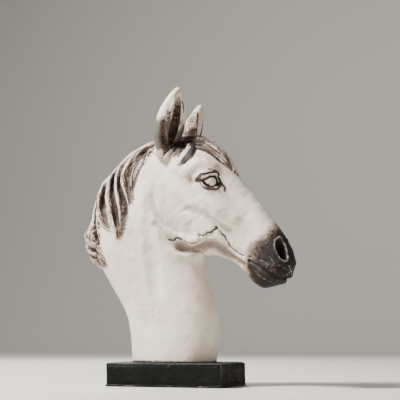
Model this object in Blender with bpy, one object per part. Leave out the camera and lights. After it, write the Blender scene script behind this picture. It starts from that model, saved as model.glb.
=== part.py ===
"""A horse bust in cast resin on a slate plinth, at its real size, in metres.

The horse looks along +X, Z is up, and the origin is the middle of the plinth's underside.
The bust is one casting. It is drawn on a carver's grid of 298 units from its flat foot to
the tip of its near ear, so one grid unit is close to 1 mm at the real size. On the grid the
foot is at z = 0. The horse's right side, towards -Y, is its near side.
"""
import math

import bmesh
import bpy
import numpy as np
from mathutils import Matrix, Vector
from mathutils.bvhtree import BVHTree

# Driving dimensions, in metres
BUST_HEIGHT = 0.298
PLINTH_LENGTH = 0.134
PLINTH_WIDTH = 0.082
PLINTH_HEIGHT = 0.026
PLINTH_EDGE = 0.0016
SEAT_GAP = 0.0003

# How finely the casting is modelled, in grid units, and how many triangles it keeps
GRID_HEIGHT = 298.0
GRID = BUST_HEIGHT / GRID_HEIGHT
SKIN_VOXEL = 1.5
BUST_TRIANGLES = 8000

# Widths of a cross-section at these shares of the way from its top line to its bottom line
SECTION_DEPTHS = (0.06, 0.22, 0.50, 0.78, 0.94)
SECTIONS = {
    "neck": (0.40, 0.76, 1.00, 0.92, 0.56),
    "poll": (0.44, 0.80, 1.00, 0.90, 0.52),
    "brow": (0.56, 0.96, 0.92, 0.78, 0.46),
    "face": (0.52, 0.84, 1.00, 0.80, 0.46),
    "muzzle": (0.56, 0.92, 1.00, 0.88, 0.56),
}

# Top point (x, z), bottom point (x, z), half width and kind of section, from foot to lips
STATIONS = (
    ((-50, -12), (44, -12), 31.0, "neck"),
    ((-51, 0), (45, 0), 31.0, "neck"),
    ((-53, 27), (49, 26), 30.0, "neck"),
    ((-59, 53), (47.5, 52), 28.5, "neck"),
    ((-73.5, 77), (40.5, 75), 27.0, "neck"),
    ((-88.5, 102), (33.5, 94), 26.0, "neck"),
    ((-98.5, 127), (28.5, 109), 25.0, "neck"),
    ((-99, 155), (24, 120), 24.0, "neck"),
    ((-91, 179.5), (20, 127), 23.5, "neck"),
    ((-79.5, 204.5), (18, 130), 23.0, "neck"),
    ((-61.5, 226.5), (18, 131), 23.0, "poll"),
    ((-36.5, 239), (21, 130), 24.0, "poll"),
    ((-12, 243), (27, 128), 26.0, "poll"),
    ((10, 242), (33, 124), 29.0, "brow"),
    ((31.5, 237), (40, 119.5), 32.0, "brow"),
    ((50.5, 225), (49, 115.5), 32.0, "brow"),
    ((67, 207.5), (58.5, 111), 28.5, "face"),
    ((84, 188.5), (68.5, 107), 24.0, "face"),
    ((100.5, 169), (78, 101), 21.0, "face"),
    ((114, 152.5), (88, 91.5), 19.5, "muzzle"),
    ((125, 138), (97, 82), 20.5, "muzzle"),
    ((134, 123.5), (106.5, 77), 20.0, "muzzle"),
    ((139.5, 108), (119, 79), 17.5, "muzzle"),
    ((139, 97), (128.5, 82), 10.0, "muzzle"),
    ((135.5, 90.5), (131.5, 86.5), 3.5, "muzzle"),
)
RINGS_PER_SPAN = 5
POINTS_PER_SPAN = 4

# One ear as rings from its root to its tip: share of its length, half width, half thickness
EAR_PROFILE = (
    (0.00, 10.0, 9.0),
    (0.12, 11.5, 9.5),
    (0.28, 16.0, 11.0),
    (0.45, 17.8, 11.5),
    (0.62, 16.5, 10.5),
    (0.78, 12.5, 8.0),
    (0.90, 7.8, 5.2),
    (0.97, 4.0, 3.2),
    (1.00, 1.5, 1.5),
)
EAR_WALL = 5.0
EAR_HALF_OPENING = math.radians(17)
EAR_OUTER_POINTS = 26
EAR_INNER_POINTS = 16
NEAR_EAR = {"root": (-8, -20, 222), "tip": (13.5, -25, 298), "mouth_degrees": -30, "bow": -0.5}
FAR_EAR = {"root": (-3, 20, 222), "tip": (16, 24, 289), "mouth_degrees": 20, "bow": 0.5}

# The head turns a little to its right, about an axis up the neck
TURN_DEGREES = 7.0
TURN_PIVOT = np.array((-5.0, 0.0, 180.0))
TURN_AXIS = np.array((0.349, 0.0, 0.937))
TURN_DIRECTION = np.array((0.707, 0.0, 0.707))
TURN_START, TURN_END = 60.0, 125.0

# Carving. A path is drawn on the near side as (x, z) and laid on the skin, or as (x, y, z)
THROAT = (27, 0, 122)
THROAT_CLAY = {"radius": 20.0, "height": 7.0}
THROAT_SMOOTHING = {"radius": 34.0, "rounds": 40}
CHEEK_EDGE = ((-8, 212), (-17, 203), (-22, 190), (-22, 173), (-17, 158), (-7, 145), (6, 136), (20, 130.5),
              (36, 128.5), (50, 131))
CHEEK_SHELF = {"height": 4.0, "inside": 34.0, "outside": 8.0}

# Strokes of the bones and soft forms: path, radius and height, which digs in below zero
FACE_STROKES = {
    "groove down the neck": (((-21, 158.5), (-20, 131), (-17, 104), (-13, 77), (-10, 55.5)), 14.0, -1.6),
    "brow bone": (((26, 196), (33, 206), (43, 213), (53, 210)), 11.0, 3.0),
    "mound round the eye": (((51, 193),), 15.0, 2.6),
    "hollow of the temple": (((28, 190),), 11.0, -2.0),
    "ridge from brow to ear": (((26, 197), (16, 206), (2, 213)), 8.0, 1.6),
    "face crest": (((45, 172), (60, 165), (76, 154), (92, 143)), 8.0, 1.6),
    "hollow under the crest": (((38, 163), (55, 155), (66, 149), (78, 142)), 6.0, -1.4),
    "flat beside the nose bone": (((66, 184), (84, 164), (100, 146)), 8.0, -1.2),
}
JAW_GROOVE = (((38, 129), (50, 131), (58, 134.5), (62, 140), (67, 135), (72.5, 124), (79, 117), (98, 109)),
              4.0, -1.2)

EYE_CENTRE = (56.5, 189)
EYE_STROKES = {
    "socket": ((EYE_CENTRE,), 11.0, -3.0),
    "eyeball": ((EYE_CENTRE,), 7.5, 4.6),
    "upper lid": (((42, 190.5), (49, 195), (54.5, 197), (59, 196.5), (62.5, 192.5), (65, 186), (67, 181)),
                  3.4, 3.2),
    "lower lid": (((42, 190.5), (47, 185.5), (52, 181.5), (58.5, 180.5), (63.5, 181.5), (67, 181)), 3.0, 2.2),
}
LID_CREASE = (((39, 192), (46, 199), (54, 202), (60, 202), (64.5, 195), (68, 187.5), (71, 179)), 3.2, -1.8)

NOSTRIL_RIM = (((128, -10, 129.5), (132, -6.5, 125.5), (136.5, -7, 114.5), (138.5, -9, 106), (136, -14, 102),
                (131.5, -17.5, 106), (127.5, -18.5, 115), (126, -15.5, 124.5), (128, -10, 129.5)), 4.5, 1.4)
NOSTRIL_HOLLOW = (((130.5, -12, 123), (133, -13, 116), (135, -13.5, 108)), 6.0, -8.0)
MOUTH = (((99, -19, 108), (106, -19.5, 102.5), (113, -19.5, 96), (119.5, -18.5, 91), (127, -14, 87),
          (132, -7, 86.5), (134, 0, 87)), 4.0, -3.2)
LOWER_LIP = (((107, -18, 95), (114, -18, 89), (122, -15, 84), (128, -8, 82)), 6.0, 1.2)

# Locks of the mane: path down the side, radius and height
MANE_LOCKS = (
    (((-22, 238), (-44, 231), (-60, 221), (-73, 208), (-78, 193), (-78, 178), (-73, 162), (-66, 146),
      (-61, 130)), 6.5, 6.5),
    (((-22, 236), (-43, 227), (-57, 216), (-67, 202), (-69, 187), (-65, 172), (-60.5, 160), (-59, 148),
      (-60, 138)), 5.5, 6.0),
    (((-22, 234), (-38, 227), (-50, 216), (-59, 201), (-58, 186), (-53.5, 172), (-52.5, 160), (-55, 148)),
     5.0, 5.5),
    (((-21, 231), (-34, 223), (-43, 211), (-47, 197), (-48.5, 182), (-49, 168), (-51, 156)), 4.5, 4.5),
    (((-80, 200), (-88, 190), (-95, 178), (-99, 167), (-101, 155), (-101, 142), (-99, 130)), 6.0, 6.5),
    (((-78, 200), (-86, 188), (-91, 175), (-90, 162), (-84, 153), (-77, 147), (-70, 142)), 5.0, 5.5),
    (((-92, 184), (-98, 170), (-98, 156), (-96, 144), (-93, 132)), 4.5, 5.0),
    (((-95, 170), (-93, 158), (-89, 147), (-87, 137), (-88, 128)), 4.0, 4.0),
    (((-99, 143), (-99, 131), (-95, 121), (-87, 111), (-80, 102)), 6.0, 5.0),
    (((-97, 138), (-90, 127), (-82, 115), (-77, 103)), 5.0, 4.5),
)
CREST_LOCKS = (
    (((-16, 0, 243), (-38, 0, 239), (-62, 0, 226), (-76, 0, 212)), 8.0, 5.0),
    (((-90, 0, 187), (-98, 0, 171), (-101, 0, 155), (-101, 0, 140)), 9.0, 9.0),
    (((-99, 0, 154), (-101, 0, 138), (-100, 0, 124), (-95, 0, 113), (-89, 0, 103)), 12.0, 12.0),
)
FORELOCK_LOCKS = (
    (((6, -6, 243), (20, -9, 241.5), (33, -11, 236.5), (46, -10, 228), (57, -7.5, 218), (66, -5, 208),
      (72, -3, 201)), 6.0, 4.0),
    (((10, -12, 240), (22, -15, 237.5), (34, -17, 231.5), (46, -14.5, 225), (55, -11, 217.5), (62, -9, 211)),
     5.0, 4.5),
    (((16, -15, 238), (25, -20, 230), (31, -24, 222), (30, -28.5, 214.5), (23, -29.5, 210)), 4.5, 3.6),
    (((12, -17, 236), (17, -23, 227), (15, -26, 220), (8, -27, 214)), 4.0, 3.0),
)
BROW_LOCKS = (
    (((2, 0, 243), (14, 0, 242.5), (31, 0, 238), (46, 0, 228), (58, 0, 217), (68, 0, 206), (75, 0, 198)),
     14.0, 7.5),
)
FAR_SIDE_SHARE = 0.7
RELAX_STRENGTH = 0.5

# Places where the skin keeps more triangles, with their radius, and how strongly it keeps them
FINE_PLACES = ((EYE_CENTRE, 20), ((132, -13, 116), 20), ((122, -17, 89), 14))
FINE_WEIGHT = 0.3
FINE_FACTOR = 0.1
WEIGHT_STEPS = 10

PATH_STEPS = 5
FAR_AWAY = 200.0


def clear_scene():
    for obj in list(bpy.data.objects):
        bpy.data.objects.remove(obj, do_unlink=True)


def smoothstep(value, start, end):
    share = np.clip((value - start) / (end - start), 0.0, 1.0)
    return share * share * (3.0 - 2.0 * share)


def through(points, per_span, closed=False):
    """A Catmull-Rom curve through the points, which may be rows of any shape."""
    rows = np.asarray(points, float)
    if closed:
        rows = np.concatenate([rows[-1:], rows, rows[:2]])
    else:
        rows = np.concatenate([2 * rows[:1] - rows[1:2], rows, 2 * rows[-1:] - rows[-2:-1]])
    curve = []
    for first in range(len(rows) - 3):
        a, b, c, d = rows[first:first + 4]
        for step in range(per_span):
            t = step / per_span
            curve.append(0.5 * (2 * b + (c - a) * t + (2 * a - 5 * b + 4 * c - d) * t * t
                                + (3 * b - a - 3 * c + d) * t * t * t))
    if not closed:
        curve.append(rows[-2])
    return np.array(curve)


def add_object(name, points, faces):
    mesh = bpy.data.meshes.new(name)
    mesh.from_pydata([tuple(point) for point in points], [], faces)
    obj = bpy.data.objects.new(name, mesh)
    bpy.context.scene.collection.objects.link(obj)
    return obj


def loft(name, rings):
    """A closed mesh through rings that all have the same number of points."""
    count = len(rings[0])
    faces = []
    for ring in range(len(rings) - 1):
        low, high = ring * count, (ring + 1) * count
        for i in range(count):
            j = (i + 1) % count
            faces.append((low + i, low + j, high + j, high + i))
    faces.append(tuple(reversed(range(count))))
    faces.append(tuple((len(rings) - 1) * count + i for i in range(count)))
    return add_object(name, [point for ring in rings for point in ring], faces)


def section_ring(top, bottom, half_width, kind):
    """The control points of one cross-section, down its near side and up its far side."""
    top = np.array((top[0], 0.0, top[1]))
    bottom = np.array((bottom[0], 0.0, bottom[1]))
    side = []
    for depth, width in zip(SECTION_DEPTHS, SECTIONS[kind]):
        side.append(top + (bottom - top) * depth + np.array((0.0, -half_width * width, 0.0)))
    mirrored = [point * np.array((1.0, -1.0, 1.0)) for point in reversed(side)]
    return [top, *side, bottom, *mirrored]


def neck_and_head():
    net = np.array([section_ring(*station) for station in STATIONS])
    along = through(net, RINGS_PER_SPAN)
    rings = [through(ring, POINTS_PER_SPAN, closed=True) for ring in along]
    return loft("neck_and_head", rings)


def ear(name, root, tip, mouth_degrees, bow):
    """A leaf-shaped cup from root to tip, with a slot that faces mouth_degrees left of +X."""
    root, tip = Vector(root), Vector(tip)
    axis = (tip - root).normalized()
    turn = math.radians(mouth_degrees)
    mouth = Vector((math.cos(turn), math.sin(turn), 0.0))
    mouth = (mouth - axis * mouth.dot(axis)).normalized()
    across = axis.cross(mouth)
    rings = []
    for share, half_width, half_thickness in through(EAR_PROFILE, 4):
        centre = root + (tip - root) * share - mouth * bow * math.sin(math.pi * share)
        hollow = float(smoothstep(share, 0.16, 0.36) * (1.0 - smoothstep(share, 0.80, 0.93)))
        spread = EAR_HALF_OPENING * (0.3 + 0.7 * hollow)
        inner = max(1.0 - EAR_WALL / half_width, 0.2)
        ring = []
        for i in range(EAR_OUTER_POINTS):
            angle = math.pi / 2 + spread + (2 * math.pi - 2 * spread) * i / (EAR_OUTER_POINTS - 1)
            ring.append(centre + across * half_width * math.cos(angle)
                        + mouth * half_thickness * math.sin(angle))
        right_lip, left_lip = ring[-1], ring[0]
        for i in range(EAR_INNER_POINTS):
            share_across = (i + 1) / (EAR_INNER_POINTS + 1)
            angle = math.pi / 2 - spread - (2 * math.pi - 2 * spread) * share_across
            lid = right_lip.lerp(left_lip, share_across)
            bowl = (centre + across * half_width * inner * math.cos(angle)
                    + mouth * half_thickness * inner * math.sin(angle))
            ring.append(lid.lerp(bowl, hollow))
        rings.append(ring)
    return loft(name, rings)


def bake(obj):
    """Replaces the object's mesh by what its modifiers make of it."""
    graph = bpy.context.evaluated_depsgraph_get()
    made = bpy.data.meshes.new_from_object(obj.evaluated_get(graph))
    obj.modifiers.clear()
    obj.data = made


def fused(name, objects, voxel):
    """One closed skin over all the objects, which are removed."""
    joined = bmesh.new()
    for obj in objects:
        joined.from_mesh(obj.data)
        bpy.data.objects.remove(obj, do_unlink=True)
    mesh = bpy.data.meshes.new(name)
    joined.to_mesh(mesh)
    joined.free()
    whole = bpy.data.objects.new(name, mesh)
    bpy.context.scene.collection.objects.link(whole)
    remesh = whole.modifiers.new("skin", "REMESH")
    remesh.mode = "VOXEL"
    remesh.voxel_size = voxel
    bake(whole)
    return whole


def vertices_of(obj):
    points = np.empty(len(obj.data.vertices) * 3, np.float32)
    obj.data.vertices.foreach_get("co", points)
    return points.reshape(-1, 3).astype(float)


def set_vertices(obj, points):
    obj.data.vertices.foreach_set("co", points.astype(np.float32).ravel())
    obj.data.update()


def turned(points):
    """The points after the head's turn, which fades to nothing down the neck."""
    share = smoothstep(points @ TURN_DIRECTION, TURN_START, TURN_END)
    angle = -math.radians(TURN_DEGREES) * share[:, None]
    arm = points - TURN_PIVOT
    along = TURN_AXIS * (arm @ TURN_AXIS)[:, None]
    return (TURN_PIVOT + along + (arm - along) * np.cos(angle)
            + np.cross(TURN_AXIS, arm) * np.sin(angle))


def soft(q):
    return np.clip(1 - q * q, 0, 1) ** 2


def sharp(q):
    return np.clip(1 - q, 0, 1)


def steady(share):
    return np.ones_like(share)


def both_ends(share):
    return smoothstep(share, 0, 0.2) * (1 - smoothstep(share, 0.8, 1))


def lower_end(share):
    return smoothstep(share, 0, 0.55) * (1 - smoothstep(share, 0.85, 1))


def lock_width(share):
    return np.clip((0.6 + 0.4 * smoothstep(share, 0, 0.3)) * (1.02 - share ** 4), 0.05, 1)


def lock_height(share):
    return (0.6 + 0.4 * smoothstep(share, 0, 0.25)) * (1 - 0.75 * share ** 3)


class Clay:
    """The casting's skin while it is carved."""

    def __init__(self, obj):
        self.obj = obj
        self.points = vertices_of(obj)
        self.refresh()
        faces = [tuple(face.vertices) for face in obj.data.polygons]
        self.tree = BVHTree.FromPolygons([Vector(point) for point in self.points], faces)

    def refresh(self):
        set_vertices(self.obj, self.points)
        normals = np.empty(len(self.points) * 3, np.float32)
        self.obj.data.vertex_normals.foreach_get("vector", normals)
        self.normals = normals.reshape(-1, 3).astype(float)

    def touch(self, place, side):
        """The skin's point at (x, z) as seen from that side, or the one nearest to (x, y, z)."""
        if len(place) == 3:
            return self.tree.find_nearest(Vector((place[0], -side * place[1], place[2])))[0]
        x, z = place
        hit = self.tree.ray_cast(Vector((x, side * FAR_AWAY, z)), Vector((0, -side, 0)))[0]
        return hit or self.tree.find_nearest(Vector((x, 0, z)))[0]

    def laid(self, path, side):
        steps = through(path, PATH_STEPS) if len(path) > 1 else [path[0], path[0]]
        return np.array([self.touch(place, side) for place in steps])

    def around(self, line, reach):
        """Vertices within reach of the line, with distance, share along it and offset across it."""
        low, high = line.min(0) - reach, line.max(0) + reach
        chosen = np.nonzero(((self.points > low) & (self.points < high)).all(1))[0]
        points, normals = self.points[chosen], self.normals[chosen]
        best = np.full(len(chosen), np.inf)
        share, across = np.zeros(len(chosen)), np.zeros(len(chosen))
        runs = np.linalg.norm(np.diff(line, axis=0), axis=1)
        gone, total = 0.0, max(runs.sum(), 1e-9)
        for start, end, run in zip(line[:-1], line[1:], runs):
            way = end - start
            t = np.clip(((points - start) @ way) / max(way @ way, 1e-9), 0, 1)
            arm = points - (start + t[:, None] * way)
            distance = np.linalg.norm(arm, axis=1)
            closer = distance < best
            sideways = np.cross(way / max(run, 1e-9), normals)
            best[closer] = distance[closer]
            share[closer] = ((gone + t * run) / total)[closer]
            across[closer] = (arm * sideways).sum(1)[closer]
            gone += run
        keep = best < reach
        return chosen[keep], best[keep], share[keep], across[keep]

    def push(self, chosen, amount):
        self.points[chosen] += self.normals[chosen] * amount[:, None]

    def model(self, stroke, shape=soft, fade=steady):
        """Adds clay along the stroke, or takes it away where its height is below zero."""
        path, radius, height = stroke
        for side in (-1, 1):
            chosen, distance, share, _ = self.around(self.laid(path, side), radius)
            strength = fade(share) if len(path) > 1 else 1.0
            self.push(chosen, height * shape(distance / radius) * strength)
        self.refresh()

    def shelf(self, path, height, inside, outside):
        """A step along the path: full height at its edge, thinning inside and dropping outside."""
        for side in (-1, 1):
            chosen, distance, share, across = self.around(self.laid(path, side), max(inside, outside))
            reach = np.where(across * side < 0, inside, outside)
            self.push(chosen, height * (1 - smoothstep(distance / reach, 0, 1)) * lower_end(share))
        self.refresh()

    def smooth(self, centre, radius, rounds):
        """Evens out the skin round a point, most at the point itself."""
        away = np.linalg.norm(self.points - np.array(centre, float), axis=1)
        self.relax(soft(away / radius), rounds)

    def relax(self, strength, rounds):
        """Moves each vertex towards the middle of its neighbours."""
        edges = np.empty(len(self.obj.data.edges) * 2, np.int32)
        self.obj.data.edges.foreach_get("vertices", edges)
        first, second = edges.reshape(-1, 2).T
        vertex_count = len(self.points)
        neighbours = np.bincount(edges, minlength=vertex_count)
        for _ in range(rounds):
            for axis in range(3):
                values = self.points[:, axis]
                total = (np.bincount(first, values[second], vertex_count)
                         + np.bincount(second, values[first], vertex_count))
                values += strength * (total / neighbours - values)
        self.refresh()

    def add_locks(self, locks, side=-1):
        """Locks of hair stand out of the skin. Where they cross, the highest one shows."""
        heights = np.zeros(len(self.points))
        for path, radius, height in locks:
            chosen, distance, share, _ = self.around(self.laid(path, side), radius)
            rise = np.sqrt(np.clip(1 - (distance / (radius * lock_width(share))) ** 2, 0, 1))
            heights[chosen] = np.maximum(heights[chosen], height * lock_height(share) * rise)
        chosen = np.nonzero(heights)[0]
        self.push(chosen, heights[chosen])
        self.refresh()


def shortened(locks, share):
    """The same locks cut off at a share of their points, and flatter."""
    return [(path[:max(2, round(len(path) * share))], radius, height * share) for path, radius, height in locks]


def carve_face(clay):
    """The bones and soft forms of both sides of the head."""
    clay.shelf(CHEEK_EDGE, **CHEEK_SHELF)
    for stroke in FACE_STROKES.values():
        clay.model(stroke, fade=both_ends)
    clay.model(JAW_GROOVE, sharp, both_ends)


def carve_hair(clay):
    """The mane falls down the near side, the far side's is shorter, and a forelock lies on the brow."""
    clay.add_locks(CREST_LOCKS)
    clay.add_locks(BROW_LOCKS)
    clay.add_locks(MANE_LOCKS, -1)
    clay.add_locks(shortened(MANE_LOCKS, FAR_SIDE_SHARE), 1)
    clay.add_locks(FORELOCK_LOCKS, -1)
    clay.add_locks(FORELOCK_LOCKS, 1)


def carve_eyes(clay):
    for stroke in EYE_STROKES.values():
        clay.model(stroke, fade=both_ends)
    clay.model(LID_CREASE, sharp, both_ends)


def carve_muzzle(clay):
    clay.model(NOSTRIL_RIM)
    clay.model(NOSTRIL_HOLLOW)
    clay.model(MOUTH, sharp)
    clay.model(LOWER_LIP, fade=both_ends)


def plain_form():
    """Neck, head and ears in one skin, before they are carved."""
    return fused("horse_bust", [neck_and_head(), ear("near_ear", **NEAR_EAR), ear("far_ear", **FAR_EAR)],
                 SKIN_VOXEL)


def carved_form():
    bust = plain_form()
    clay = Clay(bust)
    clay.model(((THROAT,), THROAT_CLAY["radius"], THROAT_CLAY["height"]))
    carve_face(clay)
    clay.smooth(THROAT, **THROAT_SMOOTHING)
    clay.relax(RELAX_STRENGTH, 2)
    carve_hair(clay)
    carve_eyes(clay)
    carve_muzzle(clay)
    clay.relax(RELAX_STRENGTH, 1)
    mark_plain(clay)
    set_vertices(bust, turned(clay.points))
    return bust


def mark_plain(clay):
    """A vertex group of what may be thinned most: it is weakest round the eyes and nostrils."""
    nearness = np.zeros(len(clay.points))
    for place, radius in FINE_PLACES:
        for side in (-1, 1):
            away = np.linalg.norm(clay.points - clay.touch(place, side), axis=1)
            nearness = np.maximum(nearness, 1 - smoothstep(away, 0.7 * radius, radius))
    levels = np.round((1 - nearness * (1 - FINE_WEIGHT)) * WEIGHT_STEPS)
    group = clay.obj.vertex_groups.new(name="plain")
    for level in np.unique(levels):
        group.add([int(i) for i in np.nonzero(levels == level)[0]], level / WEIGHT_STEPS, "REPLACE")


def cut_flat(obj, height):
    """Takes off what is below the height and closes the cut."""
    mesh = bmesh.new()
    mesh.from_mesh(obj.data)
    everything = mesh.verts[:] + mesh.edges[:] + mesh.faces[:]
    cut = bmesh.ops.bisect_plane(mesh, geom=everything, dist=1e-4, plane_co=(0, 0, height),
                                 plane_no=(0, 0, -1), clear_outer=True)
    edges = [item for item in cut["geom_cut"] if isinstance(item, bmesh.types.BMEdge)]
    bmesh.ops.holes_fill(mesh, edges=edges, sides=len(edges))
    mesh.to_mesh(obj.data)
    mesh.free()


def thinned(obj, triangles):
    """The same form with about that many triangles."""
    split = obj.modifiers.new("triangles", "TRIANGULATE")
    split.min_vertices = 4
    bake(obj)
    thin = obj.modifiers.new("thin", "DECIMATE")
    thin.ratio = triangles / len(obj.data.polygons)
    thin.vertex_group = "plain"
    thin.vertex_group_factor = FINE_FACTOR
    bake(obj)


def material(name, colour, roughness):
    made = bpy.data.materials.new(name)
    made.use_nodes = True
    shader = made.node_tree.nodes["Principled BSDF"]
    shader.inputs["Base Color"].default_value = (*colour, 1.0)
    shader.inputs["Roughness"].default_value = roughness
    shader.inputs["Metallic"].default_value = 0.0
    return made


def horse_bust():
    bust = carved_form()
    cut_flat(bust, 0.0)
    thinned(bust, BUST_TRIANGLES)
    bust.data.transform(Matrix.Scale(GRID, 4))
    bust.data.shade_smooth()
    bust.data.materials.append(material("white_cast_resin", (0.78, 0.74, 0.69), 0.6))
    bust.location = (0, 0, PLINTH_HEIGHT + SEAT_GAP)
    return bust


def plinth():
    """A slate block with worn, bevelled edges."""
    bpy.ops.mesh.primitive_cube_add(size=1, location=(0, 0, PLINTH_HEIGHT / 2))
    block = bpy.context.object
    block.name = block.data.name = "plinth"
    block.data.transform(Matrix.Diagonal((PLINTH_LENGTH, PLINTH_WIDTH, PLINTH_HEIGHT, 1)))
    edge = block.modifiers.new("worn edges", "BEVEL")
    edge.width = PLINTH_EDGE
    edge.segments = 3
    block.data.materials.append(material("black_slate", (0.013, 0.014, 0.013), 0.55))
    return block


def main():
    clear_scene()
    plinth()
    horse_bust()


main()
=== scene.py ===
"""A horse bust in white cast resin with a dark brown wash, on a black slate plinth, in metres.

The bust is sculpted on a carver's grid of 298 units from its flat foot to the tip of its near
ear, so a grid unit is 1 mm. On the grid the foot is at z = 0, the horse looks along +X, and its
right side, towards -Y, is its near side, which the photograph shows.
"""

import math

import bmesh
import bpy
import numpy as np
from mathutils import Matrix, Vector
from mathutils.bvhtree import BVHTree


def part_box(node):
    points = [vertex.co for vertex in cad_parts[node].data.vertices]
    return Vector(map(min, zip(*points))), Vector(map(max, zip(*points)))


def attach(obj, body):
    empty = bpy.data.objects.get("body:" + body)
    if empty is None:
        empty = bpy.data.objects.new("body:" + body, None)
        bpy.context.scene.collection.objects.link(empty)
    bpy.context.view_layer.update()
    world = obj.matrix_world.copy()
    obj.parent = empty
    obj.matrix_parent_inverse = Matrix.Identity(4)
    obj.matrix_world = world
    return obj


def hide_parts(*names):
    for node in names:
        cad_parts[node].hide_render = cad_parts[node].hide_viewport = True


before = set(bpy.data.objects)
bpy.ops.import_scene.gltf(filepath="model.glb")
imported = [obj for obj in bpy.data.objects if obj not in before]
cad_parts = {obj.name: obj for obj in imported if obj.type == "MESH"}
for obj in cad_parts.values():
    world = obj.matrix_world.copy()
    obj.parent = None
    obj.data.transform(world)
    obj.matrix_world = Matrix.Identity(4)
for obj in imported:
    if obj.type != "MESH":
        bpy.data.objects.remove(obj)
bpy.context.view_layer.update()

MM = 0.001
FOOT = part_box("horse_bust")[0].z
PLINTH_LOW, PLINTH_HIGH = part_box("plinth")

# How finely the casting is sculpted, in grid units, and how many triangles it keeps
SKIN_VOXEL = 0.8
BUST_TRIANGLES = 190000

# Widths of a cross-section at these shares of the way from its top line to its bottom line
SECTION_DEPTHS = (0.06, 0.22, 0.50, 0.78, 0.94)
SECTIONS = {
    "neck": (0.40, 0.76, 1.00, 0.92, 0.56),
    "poll": (0.44, 0.80, 1.00, 0.90, 0.52),
    "brow": (0.56, 0.96, 0.92, 0.78, 0.46),
    "face": (0.52, 0.84, 1.00, 0.80, 0.46),
    "muzzle": (0.56, 0.92, 1.00, 0.88, 0.56),
}

# Top point (x, z), bottom point (x, z), half width and kind of section, from foot to lips
STATIONS = (
    ((-50, -12), (44, -12), 31.0, "neck"),
    ((-51, 0), (45, 0), 31.0, "neck"),
    ((-53, 27), (49, 26), 30.0, "neck"),
    ((-59, 53), (47.5, 52), 28.5, "neck"),
    ((-73.5, 77), (40.5, 75), 27.0, "neck"),
    ((-88.5, 102), (33.5, 94), 26.0, "neck"),
    ((-98.5, 127), (28.5, 109), 25.0, "neck"),
    ((-99, 155), (24, 120), 24.0, "neck"),
    ((-91, 179.5), (20, 127), 23.5, "neck"),
    ((-79.5, 204.5), (18, 130), 23.0, "neck"),
    ((-61.5, 226.5), (18, 131), 23.0, "poll"),
    ((-36.5, 239), (21, 130), 24.0, "poll"),
    ((-12, 243), (27, 128), 26.0, "poll"),
    ((10, 242), (33, 124), 29.0, "brow"),
    ((31.5, 237), (40, 119.5), 32.0, "brow"),
    ((50.5, 225), (49, 115.5), 32.0, "brow"),
    ((67, 207.5), (58.5, 111), 28.5, "face"),
    ((84, 188.5), (68.5, 107), 24.0, "face"),
    ((100.5, 169), (78, 101), 21.0, "face"),
    ((114, 152.5), (88, 91.5), 19.5, "muzzle"),
    ((125, 138), (97, 82), 20.5, "muzzle"),
    ((134, 123.5), (106.5, 77), 20.0, "muzzle"),
    ((139.5, 108), (119, 79), 17.5, "muzzle"),
    ((139, 97), (128.5, 82), 10.0, "muzzle"),
    ((135.5, 90.5), (131.5, 86.5), 3.5, "muzzle"),
)
RINGS_PER_SPAN = 14
POINTS_PER_SPAN = 10

# One ear as rings from its root to its tip: share of its length, half width, half thickness
EAR_PROFILE = (
    (0.00, 10.0, 9.0),
    (0.12, 11.5, 9.5),
    (0.28, 16.0, 11.0),
    (0.45, 17.8, 11.5),
    (0.62, 16.5, 10.5),
    (0.78, 12.5, 8.0),
    (0.90, 7.8, 5.2),
    (0.97, 4.0, 3.2),
    (1.00, 1.5, 1.5),
)
EAR_WALL = 4.0
EAR_HALF_OPENING = math.radians(17)
EAR_RINGS_PER_SPAN = 10
EAR_OUTER_POINTS = 60
EAR_INNER_POINTS = 40
NEAR_EAR = {"root": (-8, -20, 222), "tip": (13.5, -25, 298), "mouth_degrees": -30, "bow": -0.5}
FAR_EAR = {"root": (-3, 20, 222), "tip": (16, 24, 289), "mouth_degrees": 20, "bow": 0.5}

# The head turns a little to its right, about an axis up the neck
TURN_DEGREES = 7.0
TURN_PIVOT = np.array((-5.0, 0.0, 180.0))
TURN_AXIS = np.array((0.349, 0.0, 0.937))
TURN_DIRECTION = np.array((0.707, 0.0, 0.707))
TURN_START, TURN_END = 60.0, 125.0

# A stroke is (path, radius, height): below zero it digs in. Paths are (x, z) laid on the skin
# from the side, or (x, y, z) laid on its nearest point
THROAT = (27, 0, 122)
THROAT_CLAY = ((THROAT,), 20.0, 7.0)
CHEEK_EDGE = ((-8, 212), (-17, 203), (-22, 190), (-22, 173), (-17, 158), (-7, 145), (6, 136), (20, 130.5),
              (36, 128.5), (50, 131))
CHEEK_SHELF = {"height": 5.0, "inside": 34.0, "outside": 6.5}
UNDER_JAW = (((-14, 146), (-7, 134), (2, 125), (12, 120.5), (24, 120), (36, 124), (48, 123.5), (58, 121),
              (67, 115), (77, 108), (88, 101)), 8.0, -3.8)
CHEEK_FILL = (((17, -15, 131), (22, -15, 130), (28, -16, 129), (34, -18, 130)), 8.0, 3.0)
UNDER_CHEEK = (((13, -16, 121.5), (22, -14, 119.5), (30, -12, 118.5), (38, -13, 120), (47, -14, 121.5)),
               7.0, -2.6)
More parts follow.
